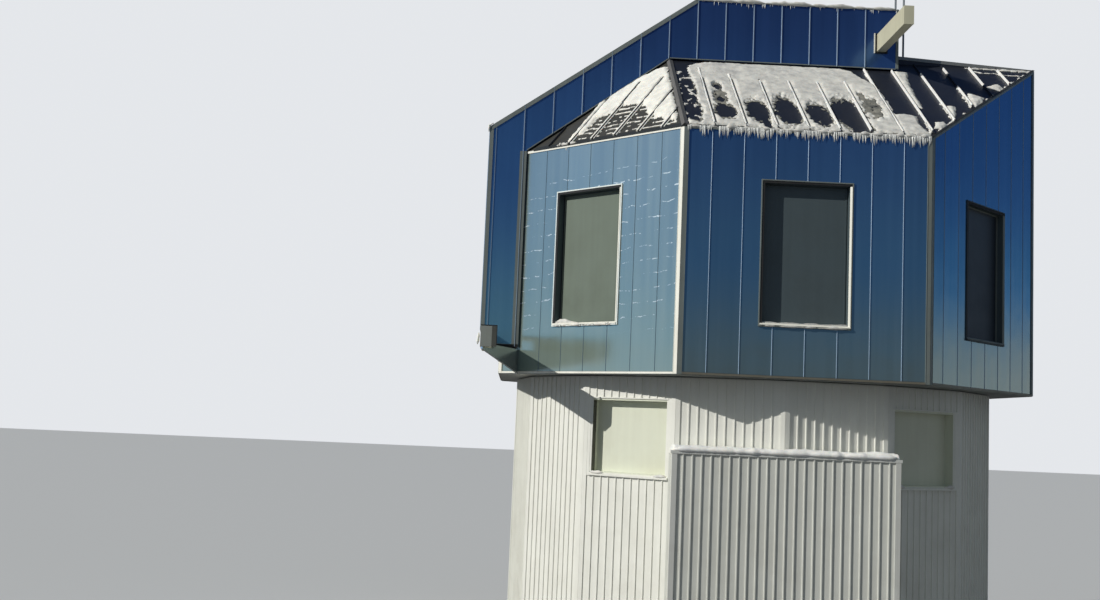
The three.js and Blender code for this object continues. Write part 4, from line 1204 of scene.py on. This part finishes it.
hipSnow = {
    "depth": 0.055,
    "outline": [
        (-0.74, 0.08), (-0.43, 0.28), (-0.38, 0.62), (-0.1, 0.72), (0.02, 0.9), (0.41, 0.85), (0.76, 0.75),
        (1.01, 0.5), (1.57, 0.28), (1.77, 0.22), (2.05, 0.12), (1.95, 0.3), (1.5, 0.76), (0.95, 1.32),
        (0.42, 1.86), (0.16, 1.83), (-0.27, 1.6), (-0.55, 1.42), (-0.78, 1.22),
    ],
    "striped": [(-0.74, 0.03), (2.1, 0.03), (1.7, 0.5), (0.9, 0.9), (-0.1, 0.95), (-0.7, 0.6)],
    "stripe": 0.11, "stripeDepth": 0.012, "bankDepth": 0.045,
}


def hipSnowDepth(u, d):
    rim = inside(u, d, hipSnow["outline"]) + 0.03 * ripple(u, d, 8.0, 5.0)
    depth = min(hipSnow["depth"] * (0.8 + 0.5 * abs(ripple(u, d, 3.0, 1.0))), rim * 0.9)
    band = inside(u, d, hipSnow["striped"])
    if depth <= 0 and band > 0:
        wave = math.cos(2 * math.pi * (d + 0.02 * ripple(u, d, 4.0)) / hipSnow["stripe"])
        line = (wave - 0.45 + 0.5 * ripple(u, d, 5.0, 8.0)) * 0.03
        depth = max(depth, min(hipSnow["stripeDepth"], line, band * 0.3))
    offSeam = u - round(u / roof["hipPitch"]) * roof["hipPitch"]
    if d < 0.95 and abs(offSeam) < 0.09 and band > 0.01:
        depth = max(depth, min(hipSnow["bankDepth"], (0.055 - abs(offSeam + 0.03)) * 0.8))
    if abs(offSeam) < 0.03 and d < 1.5:
        depth = min(depth, (abs(offSeam) - 0.012) * 1.5)
    return depth


for hand, side in sides:
    onSide, onHip = sideRoofPlace(hand), hipRoofPlace(hand)
    snowSheet("roof_snow_" + side, "dome", onSide, (-2.3, 2.4), (0.0, 3.0), 0.02, roofSnowDepth, snow)
    snowSheet("roof_snow_thin_" + side, "dome", onSide, (-2.3, 2.0), (0.04, 2.2), 0.02, oldSnowDepth, oldSnow)
    snowSheet("roof_snow_rear_" + side, "dome", onSide, (1.7, 5.65), (0.0, 3.34), 0.02, rearSnowDepth, snow)
    snowSheet("hip_snow_" + side, "dome", onHip, (-1.0, 2.2), (0.0, 2.0), 0.022, hipSnowDepth, sunnySnow)
print("snow lies on the roof")


# Lumpy rolls of snow along edges, and icicles
def snowRoll(name, body, path, radius, seed, material=snow, wobble=0.5):
    shape = Shape()
    draw = random.Random(seed)
    count = len(path)
    points, radii = [], []
    for i, p in enumerate(path):
        swell = 1 + wobble * ripple(i * 0.35, seed * 1.7, 1.0) + draw.uniform(-0.15, 0.15)
        taper = min(1.0, (i + 0.4) / 2, (count - i - 0.6) / 2)
        points.append(p + up * (radius * (swell - 1) * 0.5))
        radii.append(max(0.004, radius * swell * taper))
    shape.tube(points, radii, 8)
    shape.finish(name, body, None, material, smooth=True)


def line(a, b, step):
    count = max(2, int((b - a).length / step) + 1)
    return [a.lerp(b, i / (count - 1)) for i in range(count)]


def icicles(name, body, a, b, count, lengths, seed, thick=0.012, gaps=-0.12):
    shape = Shape()
    draw = random.Random(seed)
    for k in range(count):
        p = a.lerp(b, draw.random())
        crowd = ripple(p.x, p.y, 4.0, seed)  # they hang in clusters
        if crowd < gaps:
            continue
        length = lengths[0] + (lengths[1] - lengths[0]) * draw.random() ** 2.5 * min(1.0, 0.5 + crowd + 0.3)
        lean = Vector((draw.uniform(-0.06, 0.06), draw.uniform(-0.04, 0.04), 0))
        radius = thick * (0.6 + 0.5 * length / lengths[1]) * draw.uniform(0.8, 1.2)
        path = [p + lean * length * s - up * length * s for s in (0.0, 0.3, 0.65, 1.0)]
        shape.tube(path, [radius * 1.3, radius, radius * 0.6, radius * 0.12], 5)
    shape.finish(name, body, None, ice, smooth=True)


y = -octagon["apothem"] - 0.012
eaveLine, drop = (Vector((-2.3, y, 10.69)), Vector((2.33, y, 10.69))), Vector((0, -0.02, 0.01))
snowRoll("eave_snow_left", "dome", line(*eaveLine, 0.05), 0.034, 11, wobble=1.0)
start, end = eaveLine[0] + drop, eaveLine[1] + drop
icicles("eave_icicles_left", "dome", start, end, 620, (0.07, 0.24), 12, 0.011, -0.32)
farLine, drop = [Vector((p.x, -p.y, p.z)) for p in eaveLine], up * 0.02
snowRoll("eave_snow_right", "dome", line(*farLine, 0.06), 0.036, 13, wobble=1.0)
icicles("eave_icicles_right", "dome", farLine[0] - drop, farLine[1] - drop, 120, (0.05, 0.25), 14, 0.014)
hipEave = hipRoofPlace(-1)
snowRoll("hip_eave_snow", "dome", [hipEave(-0.95 + 0.05 * i, 0.0, 0.02) for i in range(12)], 0.035, 15)
icicles("hip_icicles", "dome", hipEave(-0.85, -0.03, -0.03), hipEave(-0.35, -0.03, -0.03), 9, (0.06, 0.2), 16)


def shutterSnow(hand, side):
    body = side + "_shutter"
    y, z = hand * (shutter["face"] + 0.012), shutter["top"] + 0.004
    a, b = Vector((shutter["bend"] + 0.02, y, z)), Vector((shutter["rear"] - 0.05, y, z))
    corner = Vector((shutter["front"] - 0.02, y + hand * 0.01, shutter["frontTop"] + 0.02))
    steps = ((0.09, 0, 0.055), (0.04, 0, 0.03), (0, 0, 0), (-0.01, 0, -0.07), (-0.005, 0, -0.14))
    lumps = [corner + Vector(step) for step in steps]
    snowRoll(body + "_corner_snow", body, lumps, 0.026, 40 + hand, freshLitSnow, 0.4)
    snowRoll(body + "_top_snow", body, line(a, b, 0.06), 0.036, 20 + hand, wobble=0.8)
    icicles(body + "_icicles", body, a, b, 110, (0.05, 0.15), 30 + hand, 0.009)


for hand, side in sides:
    shutterSnow(hand, side)


# Snow on sills, on the beam's end and on the bay's ledge
def ventSillSnow(index, heap):
    name, place, z = wallNames[index], octagonPlace(index), vent["low"] + vent["frame"]
    lift = lambda u, v, h: place(u, v, z + h)

    def depthAt(u, v):
        # the right half of the front left sill is bare
        swept = min(1.0, max(0.0, -0.15 - u) * 2.5) if index == 1 else 1
        deep = heap * (0.45 + 0.9 * abs(ripple(u, index * 3.1, 2.0))) * swept
        back = min(0.148 + v, 0.012 - v)
        return min(deep, (0.80 - abs(u)) * 0.8 + 0.02, back * 1.5 + 0.01)

    snowSheet("vent_sill_snow_" + name, "dome", lift, (-0.8, 0.8), (-0.145, 0.012), 0.02, depthAt, snow)
    outer = [place(-0.83 + 0.055 * i, 0.032, vent["low"] - 0.004) for i in range(31)]
    snowRoll("vent_lip_snow_" + name, "dome", outer, 0.024, 50 + index, wobble=0.9)


for index, heap in ((1, 0.075), (2, 0.03), (4, 0.035), (6, 0.035), (7, 0.075)):
    ventSillSnow(index, heap)
for number, facet in enumerate(drumSheet["windows"]):
    place = drumPlace(facet)
    for k, u in enumerate((-0.7, 0.72)):
        path = [place(u + 0.05 * i, 0.035, drumWindow["low"] + 0.015) for i in range(-3, 4)]
        snowRoll("drum_sill_snow_%d_%d" % (number + 1, k + 1), "drum", path, 0.034, 70 + number * 2 + k)
beamEnd = Vector((-6.075, -beamTrim["end"] + 0.06, 6.70))
path = [beamEnd + Vector((-0.003 * i, 0, -0.04 * i)) for i in range(7)]
snowRoll("front_beam_snow", "dome", path, 0.032, 95, freshLitSnow, 0.4)


def ledgeSnow():
    turn, radius = Matrix.Rotation(drum["turn"], 3, "Z"), drum["radius"]
    reach, front = drum["bayHalf"], drum["bayFront"] + 0.01
    cornerX, cornerY = radius * math.sin(drum["step"]), radius * math.cos(drum["step"])
    outline = [
        (-reach, front), (reach, front), (reach, cornerY + 0.03), (cornerX, cornerY + 0.05),
        (0.0, radius + 0.05), (-cornerX, cornerY + 0.05), (-reach, cornerY + 0.03),
    ]
    lift = lambda u, v, h: turn @ Vector((u, -v, 4.601 + h))

    def depthAt(u, v):
        rim = inside(u, v, outline)
        return min(0.10 + 0.03 * ripple(u, v, 2.0, 4.0), 0.02 + rim * 2.2) if rim > 0 else rim

    us = (-reach - 0.02, reach + 0.02)
    snowSheet("ledge_snow", "drum", lift, us, (cornerY, 5.54), 0.02, depthAt, freshLitSnow)
    path = [turn @ Vector((-reach + 0.02 + i * 0.06, -5.52, 4.63)) for i in range(int(2 * reach / 0.06))]
    snowRoll("ledge_snow_lip", "drum", path, 0.052, 90, freshLitSnow, 0.3)


ledgeSnow()
print("sills and ledge snowed")


# Each node of the frame gets its own finish, by how its name starts
nodeFinish = {
    "wall_": cladMetal, "left_shutter_": shutterMetal, "right_shutter_": shutterMetal,
    "vent_": paint["ventPaint"], "roof_": paint["roofSheet"], "hip_roof_": paint["hipSheet"],
    "slit_girder_": paint["roofSheet"], "rear_deck": paint["roofSheet"], "front_beam": paint["beamPaint"],
    "rear_beam": paint["beamPaint"], "beam_bracket": paint["bracketMetal"], "beam_seat_": paint["trimMetal"],
    "mast_": paint["steel"], "dome_ring": paint["steel"], "track_ring": paint["steel"],
    "drum_wall_": paint["drumPaint"], "drum_window_": paint["windowPaint"], "bay_": paint["drumPaint"],
    "ground_slab": paint["concrete"], "observing_floor": paint["concrete"],
}
for name, node in nodes.items():
    start = max((key for key in nodeFinish if name.startswith(key)), key=len)
    node.data.materials.clear()
    node.data.materials.append(nodeFinish[start])


# Floor, sky light and the low winter sun. A sky is height, then colour.
stage = {
    "floor": 400.0, "sunStrength": 3.25, "sunSize": 0.3, "sunTint": (1.0, 0.965, 0.90),
    "floorTint": (0.16, 0.16, 0.16, 1), "floorSeen": (0.62, 0.63, 0.64, 1),
    "skySeen": (0.78, 0.80, 0.83, 1), "fill": (0.175, 0.2, 0.22, 1),
    "nearSky": (
        (0.0, (0.2, 0.14, 0.12)), (0.047, (0.168, 0.15, 0.14)), (0.059, (0.117, 0.19, 0.27)),
        (0.098, (0.08, 0.21, 0.345)), (0.15, (0.085, 0.18, 0.33)), (0.21, (0.085, 0.15, 0.28)),
        (0.32, (0.02, 0.062, 0.185)), (0.45, (0.015, 0.04, 0.12)),
    ),
    "sunwardSky": (
        (0.0, (0.85, 0.9, 1.19)), (0.049, (0.68, 0.88, 1.19)), (0.062, (0.35, 0.75, 1.19)),
        (0.088, (0.22, 0.75, 1.3)), (0.15, (0.2, 0.63, 1.4)), (0.215, (0.3, 0.71, 1.52)),
        (0.3, (0.25, 0.5, 1.1)), (0.45, (0.03, 0.1, 0.3)),
    ),
    "sideSky": (
        (0.0, (0.78, 0.76, 0.70)), (0.062, (0.74, 0.74, 0.68)), (0.079, (0.50, 0.61, 0.61)),
        (0.091, (0.265, 0.506, 0.75)), (0.104, (0.157, 0.45, 0.77)), (0.125, (0.095, 0.336, 0.58)),
        (0.16, (0.085, 0.255, 0.52)), (0.216, (0.057, 0.182, 0.418)), (0.32, (0.025, 0.10, 0.33)),
        (0.45, (0.01, 0.045, 0.15)),
    ),
}


def makeStage():
    bpy.ops.mesh.primitive_plane_add(size=stage["floor"])
    floor = bpy.context.object
    floor.name = "floor"
    material, tree, shader = startMaterial("floorPaint", Roughness=0.9)
    path = addNode(tree, "LightPath").outputs["Is Camera Ray"]
    tree.links.new(mixColour(tree, path, stage["floorTint"], stage["floorSeen"]), shader.inputs["Base Color"])
    floor.data.materials.append(material)
    data = bpy.data.lights.new("sun", "SUN")
    data.energy = stage["sunStrength"]
    data.angle = math.radians(stage["sunSize"])
    data.color = stage["sunTint"]
    lamp = bpy.data.objects.new("sun", data)
    lamp.rotation_mode = "QUATERNION"
    lamp.rotation_quaternion = sun.to_track_quat("Z", "Y")
    bpy.context.collection.objects.link(lamp)


def skyRamp(tree, value, stops):
    ramp = addNode(tree, "ValToRGB", {0: value})
    made = ramp.color_ramp.elements
    for place, tint in stops[1:-1]:
        made.new(place).color = tint + (1,)
    for element, (place, tint) in ((made[0], stops[0]), (made[-1], stops[-1])):
        element.position, element.color = place, tint + (1,)
    return ramp.outputs[0]


def makeSky():
    world = bpy.data.worlds.new("studio")
    bpy.context.scene.world = world
    world.use_nodes = True
    tree = world.node_tree
    tree.nodes.clear()
    ways = addNode(tree, "LightPath").outputs
    direction = addNode(tree, "TexCoord").outputs["Generated"]
    rise, across = axis(tree, direction, "Z"), axis(tree, direction, "X")
    near, side, sunward = (skyRamp(tree, rise, stage[name]) for name in ("nearSky", "sideSky", "sunwardSky"))
    sky = mixColour(tree, remap(tree, across, 0.45, 0.9, how="SMOOTHSTEP"), near, side)
    level = Vector((sun.x, sun.y, 0)).normalized()
    toward = addNode(tree, "VectorMath", {0: direction, 1: level}, operation="DOT_PRODUCT").outputs["Value"]
    glossy = mixColour(tree, remap(tree, toward, 0.6, 0.9, how="SMOOTHSTEP"), sky, sunward)
    seen, mirrored, filling = (
        addNode(tree, "Background", {"Color": tint, "Strength": 1.0}).outputs[0]
        for tint in (stage["skySeen"], glossy, stage["fill"])
    )
    soft = addNode(tree, "MixShader", {0: ways["Is Glossy Ray"], 1: filling, 2: mirrored}).outputs[0]
    final = addNode(tree, "MixShader", {0: ways["Is Camera Ray"], 1: soft, 2: seen}).outputs[0]
    tree.links.new(final, addNode(tree, "OutputWorld").inputs["Surface"])
    bpy.context.scene.view_settings.view_transform = "Standard"


makeStage()
makeSky()
print("stage lit")
